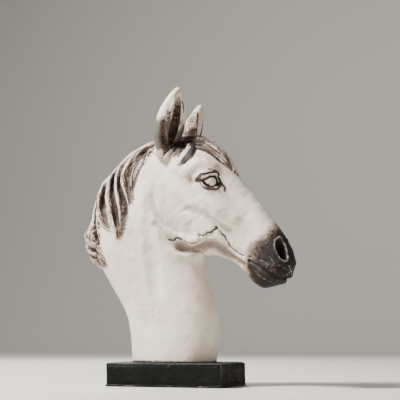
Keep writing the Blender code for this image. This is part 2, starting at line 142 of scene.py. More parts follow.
FACE_STROKES = {
    "groove down the neck": (((-17.5, 195), (-18, 180), (-19.5, 164), (-21, 147), (-21, 131), (-17, 104),
                              (-13, 77), (-10, 55.5)), 12.0, -2.8),
    "brow bone": (((21, 193), (29, 202), (38, 208), (48, 210), (56, 206), (64, 199)), 9.5, 3.0),
    "mound round the eye": (((51, 193),), 15.0, 2.4),
    "hollow of the temple": (((31, 190), (36, 193)), 9.0, -2.6),
    "ridge from brow to ear": (((26, 197), (16, 206), (2, 213)), 8.0, 1.6),
    "fold behind the eye": (((22, 203), (29, 200), (35, 194)), 3.5, -0.9),
    "face crest": (((40, 174), (60, 165), (76, 154), (92, 143)), 8.0, 2.6),
    "hollow under the crest": (((26, 164), (39, 159), (52, 154), (62, 148.5), (72, 142)), 6.0, -2.4),
    "flat beside the nose bone": (((66, 184), (84, 164), (100, 146)), 8.0, -1.4),
    "jaw muscle": (((24, 160), (30, 147)), 16.0, 1.4),
    "ridge along the jaw": (((70, 119), (80, 110.5), (92, 103), (100, 98)), 3.0, 1.2),
}
JAW_GROOVE = (((38, 129), (50, 131), (58, 134.5), (62, 140), (67, 135), (72.5, 124), (79, 117), (98, 109)),
              4.0, -1.4)

# The eye, from its socket out
EYE_CENTRE = (58.0, 189)
EYE_SOCKET = ((EYE_CENTRE,), 10.5, -2.4)
EYEBALL = ((EYE_CENTRE,), 6.2, 4.2)
UPPER_LID = (((46.5, 191), (50, 192.8), (54, 195), (57.5, 196.7), (60.5, 196.8), (62.3, 194.3), (63.8, 190.5),
              (66, 187)), 1.9, 2.6)
LOWER_LID = (((46.5, 188.2), (50.3, 184.3), (53.8, 181.8), (57.8, 181), (61.3, 181.5), (63.3, 182.6),
              (66, 183.2)), 1.7, 2.2)
EYE_RING = (((47.5, 189.6), (50.8, 190.8), (54.3, 193.2), (57.5, 194.8), (60.2, 194.4), (62, 192),
             (62.9, 189), (62.7, 186.3), (61.2, 183.4), (58.3, 182.4), (55.3, 182.4), (52.3, 185),
             (49.8, 188.4), (47.5, 189.6)), 1.5, -1.6)
LID_CREASE = (((41, 191), (44.3, 194), (47.8, 196.8), (51.8, 196.6), (56.3, 198.6), (59.8, 199.4),
               (62, 197.4), (63.5, 193), (65.5, 189.2), (67.6, 186.2), (69.5, 183.7), (70.2, 179.5)),
              1.5, -1.4)

# The muzzle
NOSTRIL_RIM = (((128.5, -9, 129), (126, -15.5, 125.5), (126, -18, 118.5), (129, -18.5, 110.5),
                (133.5, -17, 104), (137, -13.5, 102.5), (138, -10, 106.5), (137, -8.5, 113),
                (133, -8, 122.5), (128.5, -9, 129)), 1.4, 0.9)
NOSTRIL_HOLLOW = (((130, -12.5, 121.5), (132, -13.2, 116), (134.3, -13.6, 110)), 7.2, -8.0)
MOUTH = (((98, -18, 104), (104, -19, 100.5), (110, -19.5, 97), (117.5, -19, 92.5), (124.5, -16, 88.5),
          (130, -9, 86), (133, 0, 86)), 2.4, -2.0)
UPPER_LIP = (((108, -19, 102), (116, -19, 97), (124, -17, 93), (131, -11, 91), (134.5, 0, 91)), 5.0, 1.0)
LOWER_LIP = (((106, -18, 94.5), (114, -18, 89), (122, -15, 84), (128, -8, 82)), 6.0, 1.4)
LIP_PATCH = (((121, -19.5, 98), (126, -18.5, 95.5)), 6.5, 1.2)
CHIN_FOLDS = (
    (((101, -17, 97), (108, -17.5, 90), (116, -15, 84)), 2.0, -0.8),
    (((108, -18.5, 107), (115, -19.5, 103), (122, -19, 100)), 2.2, -0.9),
    (((112, -19.5, 117), (119, -19, 110), (126, -18, 101)), 2.6, -0.9),
    (((104, -17, 92), (112, -16.5, 85.5), (121, -12, 80.5)), 1.8, -0.8),
    (((130, -17.5, 99), (134, -14, 96), (137, -8, 94)), 2.0, -0.8),
)

# Ridges of the mane, from the crest down the near side
MANE_RIDGES = {
    "thin front ridge": (((-20, -10, 238), (-28.5, -12, 231.5), (-30.5, -16, 223), (-31.5, -18.5, 214.5)),
                         2.2, 2.0),
    "first ridge": (((-24, -5, 242), (-34, -7, 239), (-42, -8, 235), (-49.5, -9, 228), (-56, -12, 217),
                     (-59, -14, 205), (-57, -17, 193), (-51.5, -19.5, 180.5), (-47, -21, 168)), 4.6, 4.6),
    "streak in the front hollow": (((-41.5, -14, 223), (-46, -16, 213.5), (-47, -18, 203.5),
                                    (-46.5, -19.5, 191.5), (-45, -20.5, 181)), 1.9, 1.6),
    "second ridge": (((-30, -4, 243), (-41, -6, 241), (-53, -8, 235), (-61.5, -9, 224), (-66.5, -10, 214),
                      (-68, -12, 203), (-66.5, -15, 192.5), (-62.5, -18, 178), (-59.5, -20, 164.5),
                      (-58.5, -21, 149)), 4.6, 5.0),
    "third ridge": (((-44, -4, 241), (-57, -6, 234), (-68, -7, 227), (-76, -8, 218), (-79, -9, 208),
                     (-79, -10, 197), (-77.5, -12, 183), (-74, -15, 170), (-69.5, -18, 156),
                     (-64.5, -20, 143), (-61.5, -21, 131)), 5.0, 5.4),
    "fourth ridge": (((-78, -5, 208), (-84, -6, 199), (-90, -7, 189), (-93, -8, 179), (-93, -9, 169),
                      (-88, -12, 158.5), (-80, -15.5, 149), (-70.5, -18.5, 142.5)), 4.6, 5.2),
    "fifth ridge": (((-88, -3, 194), (-94, -4, 186), (-98, -5, 176), (-100, -6, 164), (-100, -6, 151),
                     (-97, -7, 139)), 4.4, 4.8),
    "sixth ridge": (((-91, -7, 182), (-94, -10, 168), (-93, -12, 155), (-90, -13, 143), (-87, -13, 132)),
                    2.6, 3.0),
}
CREST_RIDGES = {
    "crest": (((-16, 0, 243), (-38, 0, 239), (-62, 0, 226), (-76, 0, 212)), 8.0, 5.0),
    "back of the crest": (((-76, 0, 212), (-90, 0, 187), (-98, 0, 171), (-101, 0, 155), (-101, 0, 140)),
                          9.0, 8.2),
    "knob": (((-99, 0, 154), (-101, 0, 138), (-100, 0, 124), (-95, 0, 113), (-89, 0, 103)), 12.0, 10.2),
}
KNOB_CURLS = {
    "upper curl": (((-99, -5, 134), (-93, -9, 128), (-86, -12, 119), (-79, -14.5, 109)), 3.4, 3.4),
    "middle curl": (((-101, -5, 126), (-94, -8, 118), (-86, -11, 109), (-80, -13.5, 101)), 3.0, 3.0),
    "lower curl": (((-99, -4, 117), (-92, -7, 109), (-85, -10, 100)), 2.8, 2.6),
    "knob lump": (((-104, -3, 142), (-104, -6, 136)), 4.2, 2.0),
    "knob lump below": (((-103, -4, 130), (-100, -8, 126)), 3.6, 2.0),
}
MANE_HOLLOWS = {
    "front hollow": (((-24, -9, 239), (-35, -11, 235), (-41, -13, 225.5), (-47.5, -15, 216),
                      (-51.5, -17, 206), (-51.5, -18, 195.5), (-48.5, -20, 182.5), (-46, -21, 174)),
                     4.6, -2.4),
    "hollow at the front edge": (((-28, -13, 230), (-33, -15, 224.5), (-36.5, -17.5, 215), (-40.5, -19, 205),
                                  (-43.5, -20, 194.5), (-45.5, -20, 184)), 4.4, -2.0),
    "thin hollow": (((-54.5, -9.5, 224), (-60.5, -11, 214), (-63.2, -13, 205), (-63, -15, 194.5),
                     (-61.5, -16.5, 184)), 2.4, -2.6),
    "lower hollow": (((-61, -16.5, 191.5), (-56, -19, 179.5), (-53, -21, 168), (-53, -21.5, 154)), 4.0, -2.0),
    "broad hollow": (((-63, -8.5, 229), (-71, -9, 221.5), (-74, -10, 211.5), (-73, -12, 198),
                      (-71, -14, 184.5), (-67.5, -17, 171.5), (-64.5, -19, 159), (-61.5, -20.5, 143)),
                     4.0, -2.8),
    "back hollow": (((-83, -8, 196), (-85, -9, 186), (-86, -10, 176), (-84, -12, 165), (-79, -15, 154),
                     (-75, -17, 149)), 5.2, -2.6),
    "rear hollow": (((-92, -6, 182), (-96, -8, 170), (-96.5, -9, 158), (-94, -11, 146), (-92, -11, 135),
                     (-91, -11, 130)), 2.6, -2.4),
    "rear thin hollow": (((-96, -2, 180), (-100, -3, 167), (-101, -3, 153)), 1.6, -1.4),
    "between the curls": (((-97, -8, 128.5), (-90, -11, 119.5), (-83, -13, 110), (-78, -14.5, 103)),
                          1.8, -1.8),
    "under the curls": (((-98, -7, 120), (-91, -10, 111), (-85, -12, 103)), 1.8, -1.6),
}

# The forelock, from between the ears down the brow
BROW_HAIR = {
    "hair over the brow": (((2, 0, 243), (14, 0, 242.5), (31, 0, 238), (46, 0, 228), (58, 0, 217),
                            (68, 0, 206), (75, 0, 198)), 14.0, 7.0),
}
FORELOCK = {
    "top lock": (((8, -2, 244), (22, -3, 243), (37, -3, 238), (48.5, -2, 230), (58, -1, 219), (67, 0, 208),
                  (74, 0, 199)), 5.0, 1.8),
    "middle lock": (((10, -8, 242), (22, -9, 240.5), (36, -9, 235), (48, -7.5, 226.5), (58, -5.5, 216),
                     (67, -3, 206)), 5.2, 2.4),
    "low lock": (((12, -13, 239), (25.5, -16, 233.5), (35, -15, 231.5), (43, -13, 228), (51, -11, 222),
                  (58.5, -8.5, 215), (65.5, -5, 208.5)), 5.0, 2.4),
    "tuft towards the eye": (((18, -14, 238), (26, -18, 232), (30, -25, 223), (28, -29, 215),
                              (20, -30, 210.5)), 5.0, 3.0),
    "edge of that tuft": (((27.5, -22, 229), (27, -25, 224.5), (25, -28.5, 218), (18, -29, 210.5)), 1.8, 3.4),
    "small tuft": (((12, -16, 236), (13.5, -24, 227), (10, -26, 221)), 3.6, 1.6),
    "light lock": (((24, -18, 232.5), (24.5, -24, 226), (22.5, -26.5, 220.5)), 1.6, 2.8),
    "tuft at the ear": (((10, -18, 233), (5.5, -21.5, 229.5), (0.5, -25.5, 223), (-9, -20, 219)), 1.8, 2.2),
}
FORELOCK_HOLLOWS = {
    "below the low lock": (((34, -18.5, 227.5), (43, -15.5, 224), (51, -13.5, 218.5), (58.5, -11.5, 211.5)),
                           1.6, -0.9),
    "pit at the ear": (((6, -19, 234), (12, -20, 232)), 5.0, -2.2),
    "between the tufts": (((19, -22, 227), (16, -27, 219)), 2.0, -1.2),
}
FAR_SIDE_SHARE = 0.7

# Ears
EAR_STROKES = {
    "lip left of the slot": (((13.5, -31, 286), (10.5, -33.5, 276), (8, -34, 268), (5.5, -33, 258),
                              (4.5, -29, 246)), 1.7, 1.2),
    "lip right of the slot": (((17.5, -22, 283), (17.5, -18.5, 274), (16, -15, 264)), 1.4, 1.0),
    "fold beside the slot": (((5, -37, 264), (2.5, -38, 258), (2, -36.5, 251), (0, -34, 241),
                              (0, -29.5, 232)), 3.6, -1.5),
    "ear to forelock": (((5.5, -21, 230.5), (4, -24, 227), (0, -25.5, 223), (-9.5, -19.5, 219)), 1.8, 1.6),
    "crack at the tip": (((15.5, -26.5, 294), (13.5, -30, 289), (12.5, -31.5, 284.5)), 0.9, -0.8),
}
STRAND_SPACING = 2.1
STRAND_DEPTH = 0.75

# Washes of thin dark paint, and painted shade: path, radius and strength
MANE_WASH = [
    (((-26, -10, 238), (-37, -12, 231), (-45, -15, 217), (-49, -17, 203), (-48, -19.5, 190),
      (-46, -20.5, 177)), 8.0, 0.68),
    (((-30, -12, 234), (-36, -14, 227)), 4.5, 1.0),
    (((-47, -17, 203), (-49, -18, 192), (-47, -19.5, 182)), 3.0, 0.95),
    (((-60, -16.5, 192), (-56, -19, 179), (-53, -21, 166), (-55, -21.5, 150), (-60, -21, 137)), 7.5, 0.72),
    (((-58, -17.5, 190), (-55, -19.5, 178), (-53, -21, 166), (-55, -21.5, 156)), 3.2, 0.95),
    (((-72, -10, 219), (-74, -11, 207), (-72.5, -13, 194), (-70, -15.5, 181), (-66, -18, 167),
      (-62, -20.5, 150)), 6.5, 0.74),
    (((-73, -10.5, 210), (-72, -13, 194), (-69, -16, 180), (-65, -18.5, 165), (-62, -20.5, 150)), 3.2, 0.95),
    (((-83, -8, 196), (-86, -10, 181), (-84, -12, 167), (-79, -15, 155)), 6.5, 0.62),
    (((-84, -8, 194), (-87, -10, 182), (-87, -11, 172)), 3.6, 0.95),
    (((-93, -8, 176), (-95, -10, 162), (-92, -12, 146), (-90, -12, 133)), 4.2, 0.72),
    (((-91, -12, 138), (-90, -12, 131)), 3.6, 1.0),
    (((-22, -13, 232), (-27, -15, 226)), 4.5, 0.42),
]
FORELOCK_WASH = [
    (FORELOCK["tuft towards the eye"][0], 5.5, 0.76),
    (FORELOCK["small tuft"][0], 4.5, 0.66),
    (FORELOCK["low lock"][0], 6.0, 0.44),
    (FORELOCK["middle lock"][0], 6.5, 0.40),
    (FORELOCK["top lock"][0], 6.0, 0.32),
    (((10, -17, 237), (16, -15, 238.5), (23, -13, 238), (29, -14, 234), (35, -13, 232)), 7.5, 0.85),
    (((29.5, -18, 231), (31.5, -23.5, 224.5), (30.5, -27.5, 220)), 4.5, 1.05),
    (((4, -24, 236), (7, -20.5, 234), (13, -19, 233), (18, -20, 231)), 8.0, 1.0),
]
NEAR_EAR_WASH = [
    (((8.5, -35.5, 271), (7, -35.5, 259), (5, -33, 248), (4, -28, 239)), 5.2, 0.5),
    (((3, -36.5, 256), (1.5, -36, 246), (-0.5, -34, 238.5), (0, -29.5, 231)), 6.5, 0.70),
    (((0, -33, 240), (1.5, -29.5, 233), (4, -24, 235), (7, -20.5, 234)), 8.0, 0.95),
    (((4.5, -23.5, 231), (-0.5, -27.5, 226), (-7, -22, 222.5)), 3.0, 0.6),
]
FAR_EAR_WASH = [
    (((12, 11, 276), (11, 10, 271.5), (10.5, 6.5, 262.5), (8, 5, 254.5)), 10.0, 0.5),
    (((9, 4.5, 252), (12.5, 5.5, 255.5), (15.5, 7.5, 256)), 7.0, 0.66),
]
# The eye's wash, with painted shade in its outer corner and on the lower side of the eyeball
EYE_WASH_AND_SHADE = [
    (((42.5, 191.5), (46.5, 193.5), (50, 194.2)), 4.0, 0.74),
    (((50.3, 187.8), (52.3, 185.4), (54.8, 183.8)), 2.6, 1.0),
    (UPPER_LID[0], 3.2, 0.38),
    (((65, 187), (66, 184.5)), 2.8, 0.85),
]
# Painted shade, laid in with the tan: in the crease under the face crest, under the jaw and the throat, and
# behind the eye
FACE_PAINTED_SHADE = [
    (((26, 163), (39, 157.5), (51, 152.5), (60.5, 147), (69, 141.5), (76, 137)), 6.0, 0.72),
    (((44, -16, 128), (54, -19, 127), (62, -18, 122), (70, -16, 116), (78, -15, 110)), 8.0, 0.62),
    (((-14, -24, 158), (-8, -24, 145), (2, -21, 134), (14, -15, 126), (22, -10, 122)), 8.0, 0.55),
    (((10, -17, 125), (18, -15, 122), (26, -13, 119), (34, -12, 119), (44, -14, 123), (56, -16.5, 122),
      (64, -14, 116.5), (74.5, -11, 110), (86, -12, 103)), 9.0, 0.90),
    (((30, 190), (35, 192), (39, 192)), 7.0, 0.55),
]

# Cracks and drawn lines: path and half width
CRACKS = {
    "cheek crack": (((2, -20, 131.5), (5, -19, 130.5), (9, -18, 132), (13, -18, 130.5), (15, -17, 129)), 1.1),
    "crack under the cheek": (((15, -17, 129), (18.5, -16.5, 127.5), (25.5, -17.5, 125.5), (33, -18, 124.5),
                               (38.5, -18.5, 126.5), (40.5, -20, 130), (39, -21, 133)), 0.6),
    "jaw crack": (((39.5, 133.5), (43.5, 132.5), (47.5, 133.5), (51.5, 134.5), (56.5, 136), (60, 138),
                   (61.5, 141)), 0.9),
    "jaw crack to the mouth": (((61.5, 141), (65, 136.5), (69.5, 132), (72, 127), (74, 121.5), (77.5, 117.5),
                                (82, 114.5), (90, 109.5), (99, 108)), 0.75),
}
FLECKS = {
    "cheek flecks": (((-13, 162.5), (-11, 159), (-9.5, 151), (-5, 142.5), (-1.5, 138)), 0.35),
}
EYE_LINES = {
    "line round the lids": (LID_CREASE[0], 1.2),
    "ring round the eyeball": (EYE_RING[0], 1.2),
    "outer corner": (((40.5, 191), (44, 190.3), (48.5, 189.6)), 2.0),
    "thick end of the upper line": (((59, 201), (60.8, 199.8), (62.8, 197)), 1.5),
    "flecks over the upper line": (((54.5, 202.5), (57, 202.5)), 0.8),
    "line below the lower lid": (((45, 188.8), (48, 185.2), (50.5, 182.3), (55.3, 180.3), (59.8, 180),
                                  (63, 180.8), (65, 182.4)), 0.95),
    "tear duct": (((63.3, 187.8), (64.3, 184.6)), 1.6),
    "fold of the tear duct": (((70.5, 182), (70, 179)), 1.3),
}
EAR_LINES = [
    (((17, -23.5, 281.5), (18, -21, 275), (17.5, -20, 269)), 0.9),
    (((6.5, -36.5, 267), (4, -37.5, 261.5), (3, -37.5, 257)), 0.6),
    (((17.5, 14, 278), (18.5, 11.5, 268), (18.5, 11, 259.5), (17.5, 12, 252)), 0.9),
]

# Where small crumbs stuck to the neck: place and radius
CRUMB_PATCHES = (((-11, -27, 73), 14), ((-18, -26, 51), 11), ((-11, -23, 149), 9), ((-30, -24, 60), 10))

# Where the dark wash starts on the muzzle and on the lower lip: x, and z at each x
MUZZLE_EDGE = ((92, 94, 96, 97.5, 100, 105, 113, 118.5, 123, 130),
               (80, 97, 103, 107, 115.5, 122.5, 126.5, 131, 138, 150))
LIP_EDGE = ((108, 101, 97, 95, 94), (78, 82, 89, 97, 104))
BESIDE_NOSTRIL = ((123, -19.5, 114), (125, -20, 108), (129, -19.5, 102))

# Edges that were wiped clean again: path and half width, then (strokes, names, half width, sides)
WIPED_MUZZLE = (
    (NOSTRIL_RIM[0], -0.6),
    (NOSTRIL_RIM[0][:3], 0.1),
    (((138.5, 8, 98), (137, -2, 93), (135.5, -6, 90.5)), 0.3),
    *[(fold[0], -0.2) for fold in CHIN_FOLDS],
)
WIPED_RIDGES = (
    (MANE_RIDGES, MANE_RIDGES, 0.5, (-1,)),
    (FORELOCK, ("edge of that tuft", "tuft at the ear", "light lock", "top lock"), 0.6, (-1, 1)),
    (EAR_STROKES, ("lip left of the slot", "lip right of the slot", "ear to forelock"), 0.6, (-1,)),
)

# How the skin is evened out: centre, radius and rounds
THROAT_SMOOTHING = (THROAT, 30, 90)
UNDER_CHEEK_SMOOTHING = (((24, -14, 126), 16, 12), ((24, 14, 126), 16, 12))
EAR_ROOT_SMOOTHING = (((-6, -20, 234), 17, 30), ((-2, 20, 234), 17, 30))
RELAX_STRENGTH = 0.5
LAST_RELAX_STRENGTH = 0.3

# Rounds that level the fine relief and the broad relief, whose depth the paint then follows
ROUNDS_TO_EVEN = 12
ROUNDS_TO_LEVEL = 40

# How far from its midline an ear's cup and its grey bloom reach
EAR_REACH = 18
BLOOM_REACH = 21

# How far from a drawn line its gap is measured, and the gap where there is no line
LINE_REACH = 5.0
NO_LINE = 4.0

# Where the detail is finest, so that thinning spares it: place and radius
FINE_DETAIL = ((EYE_CENTRE, 22), ((132, -13, 116), 22), ((122, -17, 89), 20), ((60, 128), 22))
PLAIN_LEVELS = 10

FAR_AWAY = 200.0
PATH_STEPS = 6

# The plinth's broken edges and faces, in millimetres
PLINTH_BEVEL = 1.8
PLINTH_VOXEL = 0.8
CHIP_DEPTH = 1.6
RUB_DEPTH = 1.8
PLINTH_INSET = 0.45
SEAT_INSET = 0.15
SEAT_MARGIN = 8

# The studio board lies flat in front, then sweeps up behind, in metres
BOARD_SIZE = 8.0
BOARD_SHIFT = -1.8
SWEEP_START = 2.2
SWEEP_RADIUS = 1.0
SWEEP_TURN = math.radians(-90)
SWEEP_WALL = 3.0

# Lights: name, place and width in metres, and watts. They point at the middle of the bust
LIGHTS = (("key", (-1.1, -0.74, 1.7), 0.45, 138), ("fill", (1.1, -1.1, 0.5), 1.2, 4.0),
          ("rim", (-0.7, 1.1, 0.8), 0.6, 12))
LIGHTS_AIM = Vector((0.02, 0, 0.17))
WORLD_STRENGTH = 0.25

# The photograph's view, fitted to the plinth's corners and the horizon: metres and pixels
PICTURE = 400
VIEW_ROUND = math.radians(22)
VIEW_DISTANCE = 1.2
VIEW_HEIGHT = 0.05368
METRES_PER_PIXEL = 1.1e-3
HORIZON_BELOW_MIDDLE = 136
PLINTH_LEFT_OF_MIDDLE = 23.4
SENSOR_WIDTH = 36


def smoothstep(value, start, end):
    share = np.clip((value - start) / (end - start), 0.0, 1.0)
    return share * share * (3.0 - 2.0 * share)


def lumps(points, size, seed):
    """Smooth random heights from -1 to 1, with lumps of about that size."""
    cell = np.asarray(points, float) / size
    corner = np.floor(cell)
    part = cell - corner
    part = part * part * (3.0 - 2.0 * part)
    total = np.zeros(len(cell))
    for offset in np.ndindex(2, 2, 2):
        weight = np.prod(np.where(offset, part, 1.0 - part), axis=1)
        mixed = (corner + offset) @ np.array((12.9898, 78.233, 37.719)) + seed * 4.137
        total += weight * (np.sin(mixed) * 43758.5453 % 1.0)
    return 2.0 * total - 1.0


def through(points, per_span, closed=False):
    """A Catmull-Rom curve through the points, which may be rows of any shape."""
    rows = np.asarray(points, float)
    if closed:
        rows = np.concatenate([rows[-1:], rows, rows[:2]])
    else:
        rows = np.concatenate([2 * rows[:1] - rows[1:2], rows, 2 * rows[-1:] - rows[-2:-1]])
    curve = []
    for first in range(len(rows) - 3):
        a, b, c, d = rows[first:first + 4]
        for step in range(per_span):
            t = step / per_span
            curve.append(0.5 * (2 * b + (c - a) * t + (2 * a - 5 * b + 4 * c - d) * t * t
                                + (3 * b - a - 3 * c + d) * t * t * t))
    if not closed:
        curve.append(rows[-2])
    return np.array(curve)


def loft(name, rings):
    """A closed mesh through rings that all have the same number of points."""
    count = len(rings[0])
    faces = []
    for ring in range(len(rings) - 1):
        low, high = ring * count, (ring + 1) * count
        for i in range(count):
            j = (i + 1) % count
            faces.append((low + i, low + j, high + j, high + i))
    faces.append(tuple(reversed(range(count))))
    faces.append(tuple((len(rings) - 1) * count + i for i in range(count)))
    mesh = bpy.data.meshes.new(name)
    mesh.from_pydata([tuple(point) for ring in rings for point in ring], [], faces)
    obj = bpy.data.objects.new(name, mesh)
    bpy.context.scene.collection.objects.link(obj)
    return obj


def section_ring(top, bottom, half_width, kind):
    """The control points of one cross-section, down its near side and up its far side."""
    top = np.array((top[0], 0.0, top[1]))
    bottom = np.array((bottom[0], 0.0, bottom[1]))
    side = []
    for depth, width in zip(SECTION_DEPTHS, SECTIONS[kind]):
        side.append(top + (bottom - top) * depth + np.array((0.0, -half_width * width, 0.0)))
    mirrored = [point * np.array((1.0, -1.0, 1.0)) for point in reversed(side)]
    return [top, *side, bottom, *mirrored]


def neck_and_head():
    net = np.array([section_ring(*station) for station in STATIONS])
    along = through(net, RINGS_PER_SPAN)
    return loft("neck_and_head", [through(ring, POINTS_PER_SPAN, closed=True) for ring in along])


def ear(name, root, tip, mouth_degrees, bow):
    """A leaf-shaped cup from root to tip, with a slot that faces mouth_degrees left of +X."""
    root, tip = Vector(root), Vector(tip)
    axis = (tip - root).normalized()
    turn = math.radians(mouth_degrees)
    mouth = Vector((math.cos(turn), math.sin(turn), 0.0))
    mouth = (mouth - axis * mouth.dot(axis)).normalized()
    across = axis.cross(mouth)
    rings = []
    for share, half_width, half_thickness in through(EAR_PROFILE, EAR_RINGS_PER_SPAN):
        centre = root + (tip - root) * share - mouth * bow * math.sin(math.pi * share)
        hollow = float(smoothstep(share, 0.16, 0.36) * (1.0 - smoothstep(share, 0.80, 0.93)))
        spread = EAR_HALF_OPENING * (0.3 + 0.7 * hollow)
        inner = max(1.0 - EAR_WALL / half_width, 0.2)
        ring = []
        for i in range(EAR_OUTER_POINTS):
            angle = math.pi / 2 + spread + (2 * math.pi - 2 * spread) * i / (EAR_OUTER_POINTS - 1)
            ring.append(centre + across * half_width * math.cos(angle)
                        + mouth * half_thickness * math.sin(angle))
        right_lip, left_lip = ring[-1], ring[0]
        for i in range(EAR_INNER_POINTS):
            share_across = (i + 1) / (EAR_INNER_POINTS + 1)
            angle = math.pi / 2 - spread - (2 * math.pi - 2 * spread) * share_across
            lid = right_lip.lerp(left_lip, share_across)
            bowl = (centre + across * half_width * inner * math.cos(angle)
                    + mouth * half_thickness * inner * math.sin(angle))
            ring.append(lid.lerp(bowl, hollow))
        rings.append(ring)
    return loft(name, rings)


def apply_modifiers(obj):
    """Applies the object's modifiers, from the first to the last."""
    bpy.ops.object.select_all(action="DESELECT")
    obj.select_set(True)
    bpy.context.view_layer.objects.active = obj
    for modifier in list(obj.modifiers):
        bpy.ops.object.modifier_apply(modifier=modifier.name)


def reskinned(obj, voxel):
    """Puts one closed, even skin over the object, after its other modifiers."""
    skin = obj.modifiers.new("skin", "REMESH")
    skin.mode = "VOXEL"
    skin.voxel_size = voxel
    apply_modifiers(obj)


def joined(name, objects):
    """The first object, with the others joined to it."""
    bpy.ops.object.select_all(action="DESELECT")
    for obj in objects:
        obj.select_set(True)
    whole = objects[0]
    bpy.context.view_layer.objects.active = whole
    bpy.ops.object.join()
    whole.name = whole.data.name = name
    return whole


def vertices_of(obj):
    points = np.empty(len(obj.data.vertices) * 3, np.float32)
    obj.data.vertices.foreach_get("co", points)
    return points.reshape(-1, 3).astype(float)


def normals_of(obj):
    normals = np.empty(len(obj.data.vertices) * 3, np.float32)
    obj.data.vertex_normals.foreach_get("vector", normals)
    return normals.reshape(-1, 3).astype(float)


def set_vertices(obj, points):
    obj.data.vertices.foreach_set("co", points.astype(np.float32).ravel())
    obj.data.update()


def turned(points):
    """The points after the head's turn, which fades to nothing down the neck."""
    share = smoothstep(points @ TURN_DIRECTION, TURN_START, TURN_END)
    angle = -math.radians(TURN_DEGREES) * share[:, None]
    arm = points - TURN_PIVOT
    along = TURN_AXIS * (arm @ TURN_AXIS)[:, None]
    return (TURN_PIVOT + along + (arm - along) * np.cos(angle)
            + np.cross(TURN_AXIS, arm) * np.sin(angle))


def soft(q):
    return np.clip(1 - q * q, 0, 1) ** 2


def sharp(q):
    return np.clip(1 - q, 0, 1)


def ball(q):
    return np.sqrt(np.clip(1 - q * q, 0, 1))


def steady(share):
    return np.ones_like(share)


def both_ends(share):
    return smoothstep(share, 0, 0.2) * (1 - smoothstep(share, 0.8, 1))


def lower_end(share):
    return smoothstep(share, 0, 0.55) * (1 - smoothstep(share, 0.85, 1))


def lock_width(share):
    return np.clip((0.6 + 0.4 * smoothstep(share, 0, 0.3)) * (1.02 - share ** 4), 0.05, 1)


def lock_height(share):
    return (0.6 + 0.4 * smoothstep(share, 0, 0.25)) * (1 - 0.75 * share ** 3)


